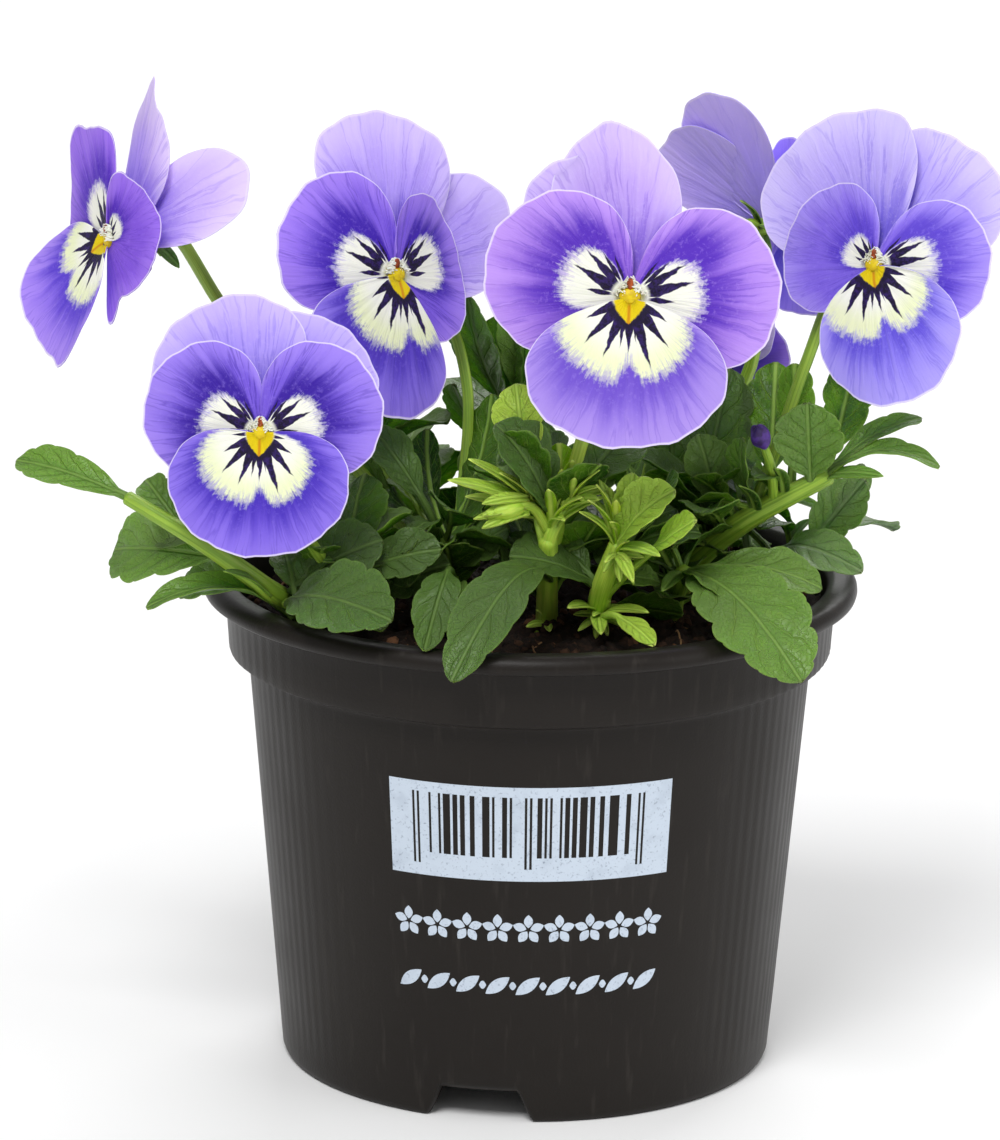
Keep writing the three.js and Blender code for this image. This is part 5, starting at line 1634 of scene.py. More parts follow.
@dataclass
class Bloom:
    """A bloom: two upper petals, two side petals and a lower one round a throat, with a spur."""

    name: str
    throat: Point
    azimuth: float
    elevation: float
    size: float
    palette: Palette
    slot: str
    petals: tuple[Petal, ...]
    roll: float = 0.0
    sepals: tuple[float, ...] = (90, 20, 160, 222, 318)

    def axes(self) -> tuple[Array, Array, Array]:
        """The bloom's right, up and outward directions from its azimuth, elevation and roll.

        Returns:
            The three unit directions.
        """
        (front, aside), (level, rise), (c, s) = map(cos_sin, (self.azimuth, self.elevation, self.roll))
        out = np.array([aside * level, -front * level, rise])
        up = unit(UP - out * out[2])
        right = np.cross(up, out)
        return right * c + up * s, up * c - right * s, out

    def centre(self) -> tuple[Array, Array]:
        """The receptacle's middle behind the throat, and the point where the stalk hooks into it.

        Returns:
            The two points.
        """
        _, up, out = self.axes()
        middle = np.array(self.throat) - 5.35 * out + 1.1 * up
        return middle, middle - 3.2 * out + 1.6 * UP

    def scale(self) -> float:
        """How large its throat is beside that of a bloom of size 22."""
        return self.size / 22

    def beard(self, draw: np.random.Generator) -> list[Surface]:
        """Short white hairs in two wedges beside the stigma, leaning inwards.

        Args:
            draw: gives each hair's root, direction and length.

        Returns:
            The hairs.
        """
        right, up, out = self.axes()
        k, hairs = self.scale(), []
        for side in (-1, 1):
            for _ in range(60):
                high = draw.uniform(0, 1)
                off = 0.55 + (1 - high) * draw.uniform(0.3, 2.0)
                root = (np.array(self.throat) + right * side * k * off + up * k * (0.5 + 2.3 * high)
                        + out * draw.uniform(0.1, 0.5))
                way = (out * draw.uniform(0.5, 1.0) - right * side * draw.uniform(0.1, 0.7)
                       + up * draw.uniform(-0.5, 0.4))
                path = root + unit(way) * np.linspace(0, draw.uniform(0.6, 1.1) * k, 4)[:, None]
                hairs.append(tube(path, np.array([0.14, 0.13, 0.11, 0.08]), 5, finish=5))
        return hairs

    def throat_parts(self) -> list[Surface]:
        """The yellow cushion of the eye, 0.86 as high as wide, the core behind it, the orange-brown
        stigma above it, and the spur.

        Returns:
            The four parts.
        """
        _, up, out = self.axes()
        k, throat = self.scale(), np.array(self.throat)
        middle = throat + (0.35 * out + 0.15 * up) * k
        cushion = ellipsoid(middle, out, 1.6 * k, 0.75 * k, 14, 24, finish=3)
        cushion.points = cushion.points - ((cushion.points - middle) @ up)[:, None] * up * 0.14
        core = ellipsoid(throat - 1.5 * out, out, 1.5 * k, 1.6, 8, 14, finish=3)
        above = throat + (0.9 * out + 1.95 * up) * k
        stigma = ellipsoid(above, up + 0.25 * out, 0.5 * k, 0.9 * k, 10, 14, finish=4)
        spur = spline([throat - 1 * out, throat - 4 * out - 1.6 * up, throat - 6.4 * out - 4.2 * up], 10)
        return [cushion, core, stigma, tube(spur, np.linspace(1.25, 0.75, 10), 14, finish=6)]

    def make(self) -> bpy.types.Object:
        """Builds petals, throat, stigma, beard and spur in one piece.

        Returns:
            The finished object.
        """
        draw = np.random.default_rng(len(self.name) * 17 + 3)
        kinds = (PetalKind.UPPER, PetalKind.UPPER, PetalKind.SIDE, PetalKind.SIDE, PetalKind.LOWER)
        skins = (PetalSkin(f"petal_upper_{self.name}", PetalKind.UPPER, *self.palette.upper, (226, 214, 252)),
                 PetalSkin(f"petal_side_{self.name}", PetalKind.SIDE, *self.palette.side),
                 PetalSkin(f"petal_lower_{self.name}", PetalKind.LOWER, *self.palette.lower))
        order = {PetalKind.UPPER: 0, PetalKind.SIDE: 1, PetalKind.LOWER: 2}
        surfaces = [petal.surface(self, kind, float(draw.uniform()), order[kind])
                    for petal, kind in zip(self.petals, kinds)]
        surfaces += self.throat_parts() + self.beard(draw)
        finishes = [skin.material() for skin in (*skins, THROAT_SKIN, STIGMA_SKIN, BEARD_SKIN, SPUR_SKIN)]
        return Piece(f"{self.name}_petals", surfaces, finishes, f"bloom_{self.name}", self.slot).make()


@dataclass
class Shoot:
    """One leafy shoot: stems, leaves, stipules, flower stalks and calyces.

    Attributes:
        node: the solid it stands for.
        slot: the record's slot.
        skin: its leaves' skin.
        stems: points, start radius and end radius of each stem.
        leaves: its leaves.
        lobes: base, tip and half width of each stipule.
        tufts: its tufts of narrow young leaves.
        stalks: bloom and path of each flower stalk.
        bud: the path of a leafy bud's neck.
        bud_stalk: the path of the small bud's stalk.
        stem_skin: its stems' skin.
        slim: what the stems' radii are times.
    """

    node: str
    slot: str
    skin: LeafSkin
    stems: tuple[tuple[tuple[Point, ...], float, float], ...]
    leaves: tuple[Leaf, ...]
    lobes: tuple[tuple[Point, Point, float], ...] = ()
    tufts: tuple[Tuft, ...] = ()
    stalks: tuple[tuple[Bloom, tuple[Point, ...]], ...] = ()
    bud: tuple[Point, ...] | None = None
    bud_stalk: tuple[Point, ...] | None = None
    stem_skin: StemSkin = STEM
    slim: float = 0.97

    def calyx(self, bloom: Bloom, path: tuple[Point, ...], tone: float) -> list[Surface]:
        """The flower stalk, its hook, the receptacle and the sepals behind a bloom.

        Args:
            bloom: the bloom.
            path: what the stalk goes through before its hook.
            tone: sets it apart.

        Returns:
            The parts.
        """
        right, up, out = bloom.axes()
        centre, crook = bloom.centre()
        curve = spline([*path, crook, centre], 40)
        made = [tube(curve, np.linspace(0.98, 0.85, 40), 12, 0.1, finish=1, tone=tone),
                ellipsoid(centre, out, 1.75, 1.9, 8, 14, finish=1)]
        for clock in bloom.sepals:
            c, s = cos_sin(clock)
            lean = (right * c + up * s) * 0.8 - out * 0.6
            made.append(Lobe(centre + lean * 0.6, centre + lean * 7.4, 1.1, 0.5).surface(tone))
        return made

    def leafy_bud(self, tone: float) -> list[Surface]:
        """The half open bud: a hooked neck, a pale head and three sepals along it.

        Args:
            tone: sets its sepals apart.

        Returns:
            The parts.
        """
        neck, nose = np.array(self.bud[1]), np.array(self.bud[2])
        axis = unit(nose - neck)
        made = [tube(spline(self.bud, 16), np.linspace(0.85, 0.68, 16), 10, finish=1),
                ellipsoid((neck + nose) / 2, axis, 1.5, 2.7, 10, 14, finish=1, tone=0.9)]
        for lift in (-1, 0, 1):
            made.append(Lobe(neck + UP * lift * 1.1, nose + UP * lift * 1.9 + axis, 1.0, 0.6).surface(tone))
        return made

    def make(self) -> bpy.types.Object:
        """Builds the whole shoot in one piece, with each leaf's tone by a seeded draw.

        Returns:
            The finished object.
        """
        draw = np.random.default_rng(sum(map(ord, self.node)))
        surfaces = []
        for points, start, end in self.stems:
            path = spline(points, 12 * len(points))
            radius = np.linspace(start, end, len(path)) * self.slim
            surfaces.append(tube(path, radius, 16, 0.07, finish=1, tone=float(draw.uniform())))
        surfaces += [leaf.surface(float(draw.uniform())) for leaf in self.leaves]
        surfaces += [Lobe(np.array(base), np.array(tip), width).surface(float(draw.uniform()))
                     for base, tip, width in self.lobes]
        surfaces += [lobe.surface(float(draw.uniform())) for tuft in self.tufts for lobe in tuft.lobes()]
        for bloom, path in self.stalks:
            surfaces += self.calyx(bloom, path, float(draw.uniform()))
        if self.bud:
            surfaces += self.leafy_bud(0.8)
        if self.bud_stalk:
            surfaces.append(tube(spline(self.bud_stalk, 14), np.linspace(0.78, 0.66, 14), 10, finish=1))
        finishes = [self.skin.material(), self.stem_skin.material(), LEAF_DARK.material()]
        return Piece(f"{self.node}_leaves", surfaces, finishes, self.node, self.slot).make()


@dataclass
class VioletBud:
    """The small dark bud under the right-hand bloom."""

    centre: Point = (34.0, -18.5, 102.0)
    axis: Point = (-0.3, -0.5, 0.81)

    def make(self) -> bpy.types.Object:
        """A closed head of rolled petals: an egg whose radius is 1 + 0.07 sin(3a + 1.4 along), three
        grooves that wind up it.

        Returns:
            The finished object.
        """
        centre, axis = np.array(self.centre), unit(np.array(self.axis))
        head = ellipsoid(centre, axis, 1.5, 2.3, 22, 28)
        out = head.points - centre
        angle = np.arctan2(out @ np.cross(axis, UP), out @ np.cross(axis, np.cross(axis, UP)))
        head.points = centre + out * (1 + 0.07 * np.sin(3 * angle + 1.4 * (out @ axis)))[:, None]
        return Piece("violet_bud", [head], [BUD_SKIN.material()], "bud_violet", "bud_dark_violet").make()


@dataclass
class CrownFill:
    """Leaves inside the crown, between the shoots' own: small drawn ones and a few tall ones at the
    back, each on its stalk from a stem."""

    count: int = 150
    seed: int = 23
    reach: float = 41.0
    front: float = -27.0
    low: float = 73.0
    high: float = 108.0
    clear: float = 14.0
    tall: tuple[Leaf, ...] = (
        Leaf((-2, 22.6, 94), (-10, 8, 117), 5.4, 168, 0.2, 2, 0.2, 3),
        Leaf((-2, 22.6, 94), (-2, 8, 119), 4.6, -165, 0.25, 2, 0.25, 2),
        Leaf((-1.5, 22, 92), (5, 4, 108), 5.2, 160, 0.2, 2, 0.2, 2),
        Leaf((-25, 19, 89.5), (-20, 6, 108), 5, 170, 0.2, 2, 0.2, 2),
        Leaf((-13, -11, 83), (-6, 2, 103), 6, 165, 0.2, 2, 0.2, 3),
        Leaf((2.5, -16, 80), (-5, 3, 93), 5, -160, 0.2, 2, 0.2, 3),
        Leaf((24, -3, 78), (30, 4, 107), 5.6, 172, 0.25, 2, 0.2, 3),
        Leaf((36, -10, 89), (37, 4, 108), 4.8, -172, 0.25, 1, 0.25, 2))

    def leaf(self, path: Array, draw: np.random.Generator) -> Leaf | None:
        """One leaf from a drawn point of a stem.

        Args:
            path: the stem's points.
            draw: gives the leaf's start, direction and sizes.

        Returns:
            The leaf, or nothing if its tip would leave the crown.
        """
        start = path[int(len(path) * draw.uniform(0.3, 0.95))]
        turn, rise, length = draw.uniform(0, 2 * np.pi), draw.uniform(-0.05, 1.1), draw.uniform(9, 19)
        way = np.array([math.cos(turn) * math.cos(rise), math.sin(turn) * math.cos(rise), math.sin(rise)])
        tip = start + way * length
        throats = np.array([bloom.throat for bloom in BLOOMS.values()])
        if (math.hypot(tip[0], tip[1]) > self.reach or not self.low < tip[2] < self.high
                or np.linalg.norm(throats - tip, axis=1).min() < self.clear or tip[1] < self.front):
            return None
        return Leaf(tuple(start), tuple(tip), length * draw.uniform(0.24, 0.34), draw.uniform(-50, 50),
                    draw.uniform(0.15, 0.35), draw.uniform(0.5, 3), draw.uniform(0.15, 0.35), 2,
                    notch=0.12, petiole_half=0.5, rows=8, columns=9)

    def make(self) -> bpy.types.Object:
        """Draws leaves until there are enough, and builds them in one piece.

        Returns:
            The finished object.
        """
        draw = np.random.default_rng(self.seed)
        stems = [spline(points, 40) for shoot in SHOOTS for points, _, _ in shoot.stems]
        leaves: list[Leaf] = []
        while len(leaves) < self.count:
            leaf = self.leaf(stems[int(draw.integers(len(stems)))], draw)
            if leaf:
                leaves.append(leaf)
        surfaces = [leaf.surface(float(draw.uniform(0, 0.9))) for leaf in leaves]
        surfaces += [leaf.surface(float(draw.uniform(0.3, 0.8))) for leaf in self.tall]
        for k, surface in enumerate(surfaces):
            surface.finish = k % 2
        return Piece("crown_leaves", surfaces, [LEAF_DARK.material(), LEAF.material()]).make()


# ---------------- This plant ----------------
# Petals: clock, length, spread, power, tilt, cup, bend, wave, waves, phase, layer, marks, shrink, tips.
BLOOMS = {bloom.name: bloom for bloom in (
    Bloom("centre", (14, -30, 125.6), -4, 16, 22, PINK_LILAC, "petal_lilac", (
        Petal(121, 24.2, 42, 2.5, -7, -0.04, -0.1, 0.02, 4, 0.9, -2.6),
        Petal(101, 28, 51, 1.2, -9, 0, -0.1, 0.02, 4, 0, -1.4),
        Petal(161, 22.7, 76, 1.65, -4, 0, -0.06, 0.02, 3, 0, 0, 152),
        Petal(8, 22.2, 69, 2.15, -3, 0, -0.12, 0.02, 3, 0.5, 0.2, 14),
        Petal(269, 22.3, 74, 3.6, 1, -0.03, 0.02, 0.015, 5, 0, 1.6, 269),
    )),
    Bloom("low_left", (-40, -34, 105.5), -2, 15, 18.5, DEEP_VIOLET, "petal_violet", (
        Petal(52, 20.5, 58, 2.6, -8, 0, -0.1, 0.02, 4, 0.5, -2.6),
        Petal(116, 21.8, 64, 2.6, -8, 0, -0.1, 0.02, 4, 1.5, -1.4),
        Petal(157, 18.2, 72, 2, -3, -0.06, -0.06, 0.02, 3, 0, 0, 157),
        Petal(23, 18.6, 72, 2, -3, -0.06, -0.06, 0.02, 3, 2, 0.2, 23),
        Petal(269, 18.2, 98, 2.6, 0, -0.1, -0.04, 0.02, 5, 0, 1.3, 269),
    )),
    Bloom("left", (-20.8, -6, 123.2), 34, 14, 20.5, MID_VIOLET, "petal_violet", (
        Petal(16, 29.8, 41, 1.6, -6, 0, -0.08, 0.02, 4, -1, -3.6),
        Petal(78, 25.8, 49, 3, -9, -0.03, -0.02, 0.02, 4, 0.6, -1.8),
        Petal(144, 19.6, 69, 2.5, -5, -0.05, -0.08, 0.02, 3, -0.8, 0, 150),
        Petal(4, 15.4, 87, 3.6, -10, 0.22, -0.14, 0.04, 3, -0.5, 0.2, 16),
        Petal(240, 22, 61, 3.6, 4, -0.06, 0, 0.02, 5, -2, 1.6, 266),
    )),
    Bloom("right", (50.6, -14, 127.2), -26, 18, 19.5, BLUE_LILAC, "petal_lilac", (
        Petal(76, 23.6, 68, 2.7, -13, -0.06, -0.05, 0.02, 4, 1, -3),
        Petal(129, 27.5, 54, 3, -13, 0, -0.03, 0.02, 4, 2.3, -1.7),
        Petal(165, 17.4, 75, 2.1, -8, 0, -0.12, 0.01, 3, -0.9, 0, 145, shrink=1.6),
        Petal(10, 17.6, 67, 2.2, -4, -0.04, -0.1, 0.02, 3, -1.3, 0.2, 14),
        Petal(292, 21.4, 71, 1.7, 0, -0.06, -0.1, 0.02, 5, 1.6, 1.6, 291),
    )),
    Bloom("far_left", (-63.5, -8, 128.5), -68, 6, 19, FAR_LILAC, "petal_violet", (
        Petal(104, 23.4, 62, 1.2, -6, -0.22, -0.06, 0.03, 4, 0.9, -2.6, tips=((1, 0.1, 5),)),
        Petal(40, 25.3, 32, 1.9, -23, 0.25, -0.1, 0.05, 4, 3.8, -1.6, tips=((-5, 0.04, 7),)),
        Petal(146, 17.8, 62, 5, 8, 0, -0.06, 0.03, 3, 0.3, 0, 130, tips=((7, 0.2, 12), (50, 0.08, 9))),
        Petal(14, 13.6, 96, 1.6, -12.5, 0.06, -0.02, 0.05, 3, 5.5, 0.4, 60, 2,
              tips=((92, 1.45, 16), (-74, 0.26, 18))),
        Petal(237, 20.3, 69, 2.2, 12, -0.1, 0.12, 0.055, 5, -0.3, 1.3, 228, tips=((-34, 0.12, 9),)),
    ), sepals=(90, 160, 222, 318)),
    Bloom("back_right", (38.5, 19.5, 126), 138, 8, 16, BACK_LILAC, "petal_lilac", (
        Petal(72, 24.5, 40, 2.4, -8, 0, -0.1, 0.02, 4, 0.5, -2.6),
        Petal(42, 22.5, 40, 2.4, -14, 0, -0.1, 0.02, 4, 1.5, -1.4),
        Petal(112, 16, 40, 2, 0, 0, -0.1, 0.02, 3, 0, 0, 150),
        Petal(350, 13, 62, 2, 0, 0, -0.1, 0.02, 3, 2, 0.2, 20),
        Petal(262, 15, 80, 2.6, 8, -0.1, -0.1, 0.02, 5, 0, 1.3, 268),
    )),
    Bloom("back", (27, 28, 103.5), 155, 5, 16, MID_VIOLET, "petal_violet", (
        Petal(60, 17, 52, 2.4, -6, 0, -0.1, 0.02, 4, 0.5, -2.6),
        Petal(120, 17, 52, 2.4, -6, 0, -0.1, 0.02, 4, 1.5, -1.4),
        Petal(165, 15, 62, 2, 0, 0, -0.1, 0.02, 3, 0, 0, 152),
        Petal(15, 15, 62, 2, 0, 0, -0.1, 0.02, 3, 2, 0.2, 28),
        Petal(270, 15, 85, 2.6, 10, -0.1, -0.1, 0.02, 5, 0, 1.3, 270),
    ), roll=10),
)}

# Leaves: base, tip, half width, roll, petiole share, bow, cup, scallops.
SHOOTS = (
    Shoot("shoot_left", "leaf_green", LEAF, stems=(
        (((-33.5, -16, 66), (-33.5, -16, 71.8), (-40, -25, 80), (-48.5, -28, 87), (-60, -26, 93.5)), 2, 1.1),
    ), leaves=(
        Leaf((-59.5, -26, 93.3), (-77, -18, 97), 3.6, -38, 0.06, 1.5, 0.3, 2),
        Leaf((-45.5, -27, 84.5), (-63, -9, 81), 6.2, -58, 0.08, 2, 0.22, 3),
        Leaf((-48, -27, 87), (-58, -7, 86.5), 5, -64, 0.12, 1, 0.2, 2),
        Leaf((-36, -21, 74), (-57, -31, 78), 2.8, -18, 0.1, 4.5, 0.5, 1),
        Leaf((-52, -27.5, 89.5), (-57.5, -21, 95), 3, -40, 0.1, 1, 0.3, 1),
        Leaf((-40, -25.5, 80), (-53, -14, 76.5), 3.6, -45, 0.1, 1.5, 0.2, 2),
    ), lobes=(
        ((-49.5, -27.5, 87.5), (-53, -30, 94.5), 1.2),
        ((-49, -27.5, 87.5), (-52, -23, 92), 1.2),
        ((-39, -25, 78.5), (-45.5, -32, 84), 1.1),
    )),
    Shoot("shoot_front_left", "leaf_dark_green", LEAF_DARK, stems=(
        (((-28, -16, 66), (-28, -16, 71.8), (-28, -18, 76), (-27, -20, 81.5)), 1.6, 1.2),
        (((-28, -17.5, 75), (-32, -21.5, 76), (-36.5, -26, 77.5)), 0.9, 0.8),
    ), leaves=(
        Leaf((-36.3, -25.8, 77.4), (-20.5, -47.5, 81), 6.6, 42, 0.08, 3.5, 0.25, 3),
        Leaf((-27, -20, 80), (-13.5, -26, 86), 4.4, 52, 0.15, 1.5, 0.2, 2),
        Leaf((-27, -20, 81), (-25, -13, 94), 5.2, 160, 0.12, -1, 0.2, 2),
        Leaf((-28, -17, 75), (-22, -40, 77.5), 2.8, 10, 0.4, 2, 0.2, 1),
    ), lobes=(
        ((-27, -20, 81), (-31, -26, 84), 1.1),
    ), stalks=(
        (BLOOMS["low_left"], ((-28, -18, 77), (-31.5, -23, 84), (-36, -26, 92), (-39, -25, 101))),
    )),
    Shoot("shoot_mid_left", "leaf_dark_green", LEAF_DARK, stems=(
        (((-12, -8, 66), (-12, -8, 71.8), (-12, -10, 75.5), (-13.5, -12, 84)), 1.8, 1.3),
    ), leaves=(
        Leaf((-13, -12, 83), (-8.5, -6.5, 92.5), 5, 150, 0.12, 1, 0.2, 2),
        Leaf((-13.5, -12, 83.5), (-21, -5, 90), 4.6, -150, 0.1, 1, 0.2, 2),
        Leaf((-12, -11, 77), (-15.5, -47, 76.5), 3.6, -10, 0.4, 6, 0.25, 2),
        Leaf((-12.5, -10.5, 78), (-3.5, -15, 86.5), 4, 55, 0.2, 1, 0.2, 2),
        Leaf((-13.5, -12, 84), (-24, -8, 100), 3.4, -50, 0.35, 3, 0.3, 2),
        Leaf((-13, -12, 84), (-16, -4, 99), 3, -170, 0.3, 2, 0.25, 1),
    ), stalks=(
        (BLOOMS["left"], ((-12, -9, 74), (-10.5, -1, 88), (-10, 5, 104), (-14.5, 9, 116))),
        (BLOOMS["far_left"], ((-12, -9, 73), (-22, 0, 86), (-36, 4, 102), (-46.5, 0, 116))),
    )),
    Shoot("shoot_centre", "leaf_fresh_green", LEAF_FRESH, stems=(
        (((2.5, -14, 66), (2.5, -14, 71.8), (2.5, -17.5, 78), (2.5, -22, 86.5)), 2, 1.6),
        (((2.5, -21, 84), (3, -22, 87.5), (4.5, -22, 90.5), (6, -22, 93)), 1.5, 0.9),
    ), leaves=(
        Leaf((2, -21.5, 85), (-2.5, -16, 109), 4.3, 166, 0.5, 1.5, 0.2, 2),
        Leaf((3, -18, 79), (-11.5, -53, 73.5), 5, -14, 0.16, 8.5, 0.2, 2, old=True),
        Leaf((4.5, -22, 91), (4, -18, 100.5), 2.6, 170, 0.2, 1, 0.3, 1),
        Leaf((5.5, -22, 92), (8, -17, 99), 2.2, 175, 0.2, 1, 0.3, 1),
        Leaf((2.5, -20, 83), (0, -4, 102), 5.6, -170, 0.25, 3, 0.2, 3, old=True),
        Leaf((2.5, -15, 73), (8, -8, 88), 3.8, 160, 0.6, -3, 0.2, 2, old=True),
    ), lobes=(
        ((0.7, -20.5, 91), (-9.5, -26, 100), 1.3),
        ((0.7, -20.5, 91), (-12.5, -27, 97), 1.3),
        ((5.5, -22, 92), (10, -24, 98), 1.2),
        ((5, -22, 91.5), (10, -26, 94), 1.3),
        ((4.5, -22, 91), (6, -24, 99.5), 1.2),
    ), stalks=(
        (BLOOMS["centre"], ((2.5, -20, 82), (6, -19, 96), (10, -18, 110), (13.5, -20, 122))),
    ), tufts=(
        Tuft((3, -22, 88), (0.35, -0.3, 1), 7, 11, 0.9, 42),
        Tuft((1, -21, 90), (-0.95, -0.25, 0.45), 6, 12, 1, 30),
        Tuft((6, -22, 92.5), (0.6, -0.3, 1), 8, 7, 0.6, 55),
        Tuft((2.5, -15, 71.5), (-0.5, -1, 0.3), 4, 4.5, 0.7, 60),
    ), bud=((2.5, -21.5, 88), (-0.5, -24, 92.5), (-6.5, -26, 91.5)), stem_skin=STEM_FRESH, slim=0.86),
    Shoot("shoot_centre_right", "leaf_fresh_green", LEAF_FRESH, stems=(
        (((10.5, -15, 66), (10.5, -15, 71.8), (10.3, -18.5, 76), (11, -22, 80.5), (13, -24, 86.5)), 2.1, 1.7),
    ), leaves=(
        Leaf((13, -24, 86), (21, -28, 96), 4.4, 60, 0.1, 2, 0.5, 2),
        Leaf((10.5, -19, 76), (24, -32, 92.5), 3.2, 50, 0.62, 1, 0.25, 1),
        Leaf((10.5, -18, 73.5), (18, -41, 76), 1.9, 20, 0.4, 2, 0.2, 1),
        Leaf((13, -23.5, 85.5), (21, -16, 96), 4.8, 140, 0.15, 1, 0.2, 2, old=True),
        Leaf((13, -24, 86), (15, -24, 97.5), 2.4, 175, 0.1, 1, 0.3, 1),
    ), lobes=(
        ((13, -24, 86), (19, -32, 87), 1.2),
        ((12.5, -24, 85.5), (15, -34, 83.5), 1.1),
        ((13, -24, 86), (10, -22, 96), 1.3),
        ((10, -17, 73.5), (17.5, -29, 77.5), 1.2),
        ((10, -17, 73.5), (10.5, -27, 73.5), 1.3),
        ((10, -17, 74), (5.5, -25, 77), 1.2),
    ), tufts=(
        Tuft((12.5, -24, 86), (-0.15, -0.2, 1), 9, 11, 0.9, 34),
        Tuft((12.6, -25, 85), (0.45, -0.9, -0.25), 8, 5.5, 0.6, 75),
        Tuft((10.4, -17.5, 73.5), (0.1, -1, 0.15), 9, 5.5, 0.6, 80),
    ), stem_skin=STEM_FRESH, slim=0.86),
    Shoot("shoot_front_right", "leaf_green", LEAF, stems=(
        (((21.5, -10, 66), (21.5, -10, 71.8), (22, -12.5, 76), (23, -16, 80.5)), 1.8, 1.3),
    ), leaves=(
        Leaf((22.5, -15, 79.5), (39.5, -46, 72), 7.8, 18, 0.12, 6, 0.18, 4),
        Leaf((21.5, -12, 76), (30, -33, 80), 4.2, -10, 0.15, 3, 0.2, 2),
        Leaf((23, -16, 80), (43.5, -20, 79), 4.6, 26, 0.18, 3, 0.2, 2),
    ), lobes=(
        ((23, -16, 80), (19.5, -26, 80), 1.2),
    )),
    Shoot("shoot_right", "leaf_green", LEAF, stems=(
        (((22, 1, 66), (22, 1, 71.8), (25, -4, 79), (32.5, -10, 87), (44.5, -12, 94.5)), 2.6, 1.6),
    ), leaves=(
        Leaf((42, -12, 93), (41, -16, 106.5), 5.6, 176, 0.1, 1, 0.25, 3),
        Leaf((44, -12, 94), (61, -16, 97), 2.3, 20, 0.1, 4, 0.4, 1),
        Leaf((44, -12, 94.3), (58.5, -10, 103), 2.4, 24, 0.1, 2, 0.4, 1),
        Leaf((34, -10.5, 88), (31.5, -14, 100.5), 3.6, 150, 0.15, 1, 0.25, 2),
        Leaf((29, -7.5, 83.5), (25, -8, 99.5), 4, -160, 0.35, 1, 0.25, 2),
        Leaf((44, -12, 94.2), (49, 0, 111), 4.6, 176, 0.2, 1, 0.2, 2),
        Leaf((39, -11.3, 91), (39.5, -5, 110), 3.2, 170, 0.4, 1, 0.25, 1),
        Leaf((23, -1, 76), (21, 6, 101), 5.2, 172, 0.3, 1, 0.2, 2),
    ), lobes=(
        ((44, -12, 94.2), (52.5, -18, 96), 1.3),
        ((34, -11, 88), (31, -17, 94), 1.4),
        ((38, -11.5, 90.8), (36.5, -18, 97), 1.2),
    ), stalks=(
        (BLOOMS["right"], ((33, -10, 87.5), (37, -8, 98), (41, -6, 110), (47, -5, 124))),
    ), bud_stalk=((36.5, -11, 90), (35.8, -15.5, 96.5), (34.7, -17.35, 100.1))),
    Shoot("shoot_far_right", "leaf_grey_green", LEAF_GREY, stems=(
        (((31.5, 10, 66), (31.5, 10, 71.8), (35, 8, 75), (40.5, 4, 78.5), (46, 0, 81.5)), 1.7, 1.1),
    ), leaves=(
        Leaf((45, 0.5, 81), (50.5, 1, 93), 2.8, 110, 0.1, 1, 0.25, 1),
        Leaf((42, 2, 78.5), (50.5, -3, 91.5), 4.2, 95, 0.15, 1.5, 0.25, 2),
        Leaf((38, 6, 76.8), (49.5, -19, 81.5), 3.7, 40, 0.14, 4, 0.25, 2),
        Leaf((45, 0.5, 81), (56, 12, 80), 4, 0, 0.12, 2, 0.2, 2),
        Leaf((34, 8.8, 74), (31, 15, 98), 4.8, 172, 0.3, 1, 0.2, 2),
    ), lobes=(
        ((40, 4.3, 78.3), (43, 4, 83.5), 1.4),
    )),
    Shoot("shoot_back_left", "leaf_green", LEAF, stems=(
        (((-14, 10, 66), (-14, 10, 71.8), (-17, 14, 79), (-26, 20, 91)), 2, 1.3),
    ), leaves=(
        Leaf((-25, 19.4, 89.8), (-51, 28, 95), 5.4, 14, 0.12, 3, 0.2, 2),
        Leaf((-18, 14.8, 80.5), (-46, 33, 80.5), 6, 20, 0.12, 4, 0.2, 2),
        Leaf((-16, 13, 77), (-18, 46, 83), 5.6, -10, 0.14, 4, 0.2, 2),
        Leaf((-25.5, 19.7, 90.5), (-33, 12, 108), 4.4, 165, 0.25, 2, 0.2, 2),
        Leaf((-25, 19.3, 89.8), (-30, 40, 101), 4.6, 0, 0.15, 3, 0.2, 2),
        Leaf((-20, 16, 83.2), (-42, 4, 86), 5, -20, 0.15, 3, 0.2, 2),
        Leaf((-19, 15.3, 82), (-27, 3, 99), 4.8, 165, 0.2, 2, 0.2, 2),
    ), lobes=(
        ((-25.5, 19.7, 90.5), (-31, 22, 98), 1.3),
    )),
    Shoot("shoot_back", "leaf_dark_green", LEAF_DARK, stems=(
        (((1, 14, 66), (1, 14, 71.8), (1, 18, 80), (-2, 23, 96)), 2, 1.2),
    ), leaves=(
        Leaf((-2, 22.6, 95), (-5, 12, 113), 4.2, 170, 0.25, 2, 0.2, 2),
        Leaf((1, 18, 80), (4, 51, 81.5), 6.2, 6, 0.12, 4, 0.2, 2),
        Leaf((0, 20, 86), (-13, 42, 96), 4.8, 0, 0.15, 3, 0.2, 2),
        Leaf((-1.5, 22, 92.5), (9, 38, 105), 4.6, 10, 0.2, 3, 0.2, 2),
        Leaf((0.6, 18.8, 82), (13, 6, 95), 5, 150, 0.2, 2, 0.2, 2),
        Leaf((0, 20, 86), (-12, 8, 103), 5, 165, 0.2, 2, 0.2, 2),
    ), lobes=(
        ((-2, 23, 96), (-7, 26, 103), 1.3),
    )),
    Shoot("shoot_back_right", "leaf_green", LEAF, stems=(
        (((16, 20, 66), (16, 20, 71.8), (18.5, 24, 78), (23, 30, 85)), 2, 1.2),
    ), leaves=(
        Leaf((22.5, 29.4, 84.4), (48, 39.5, 83), 5, -10, 0.12, 2, 0.2, 2),
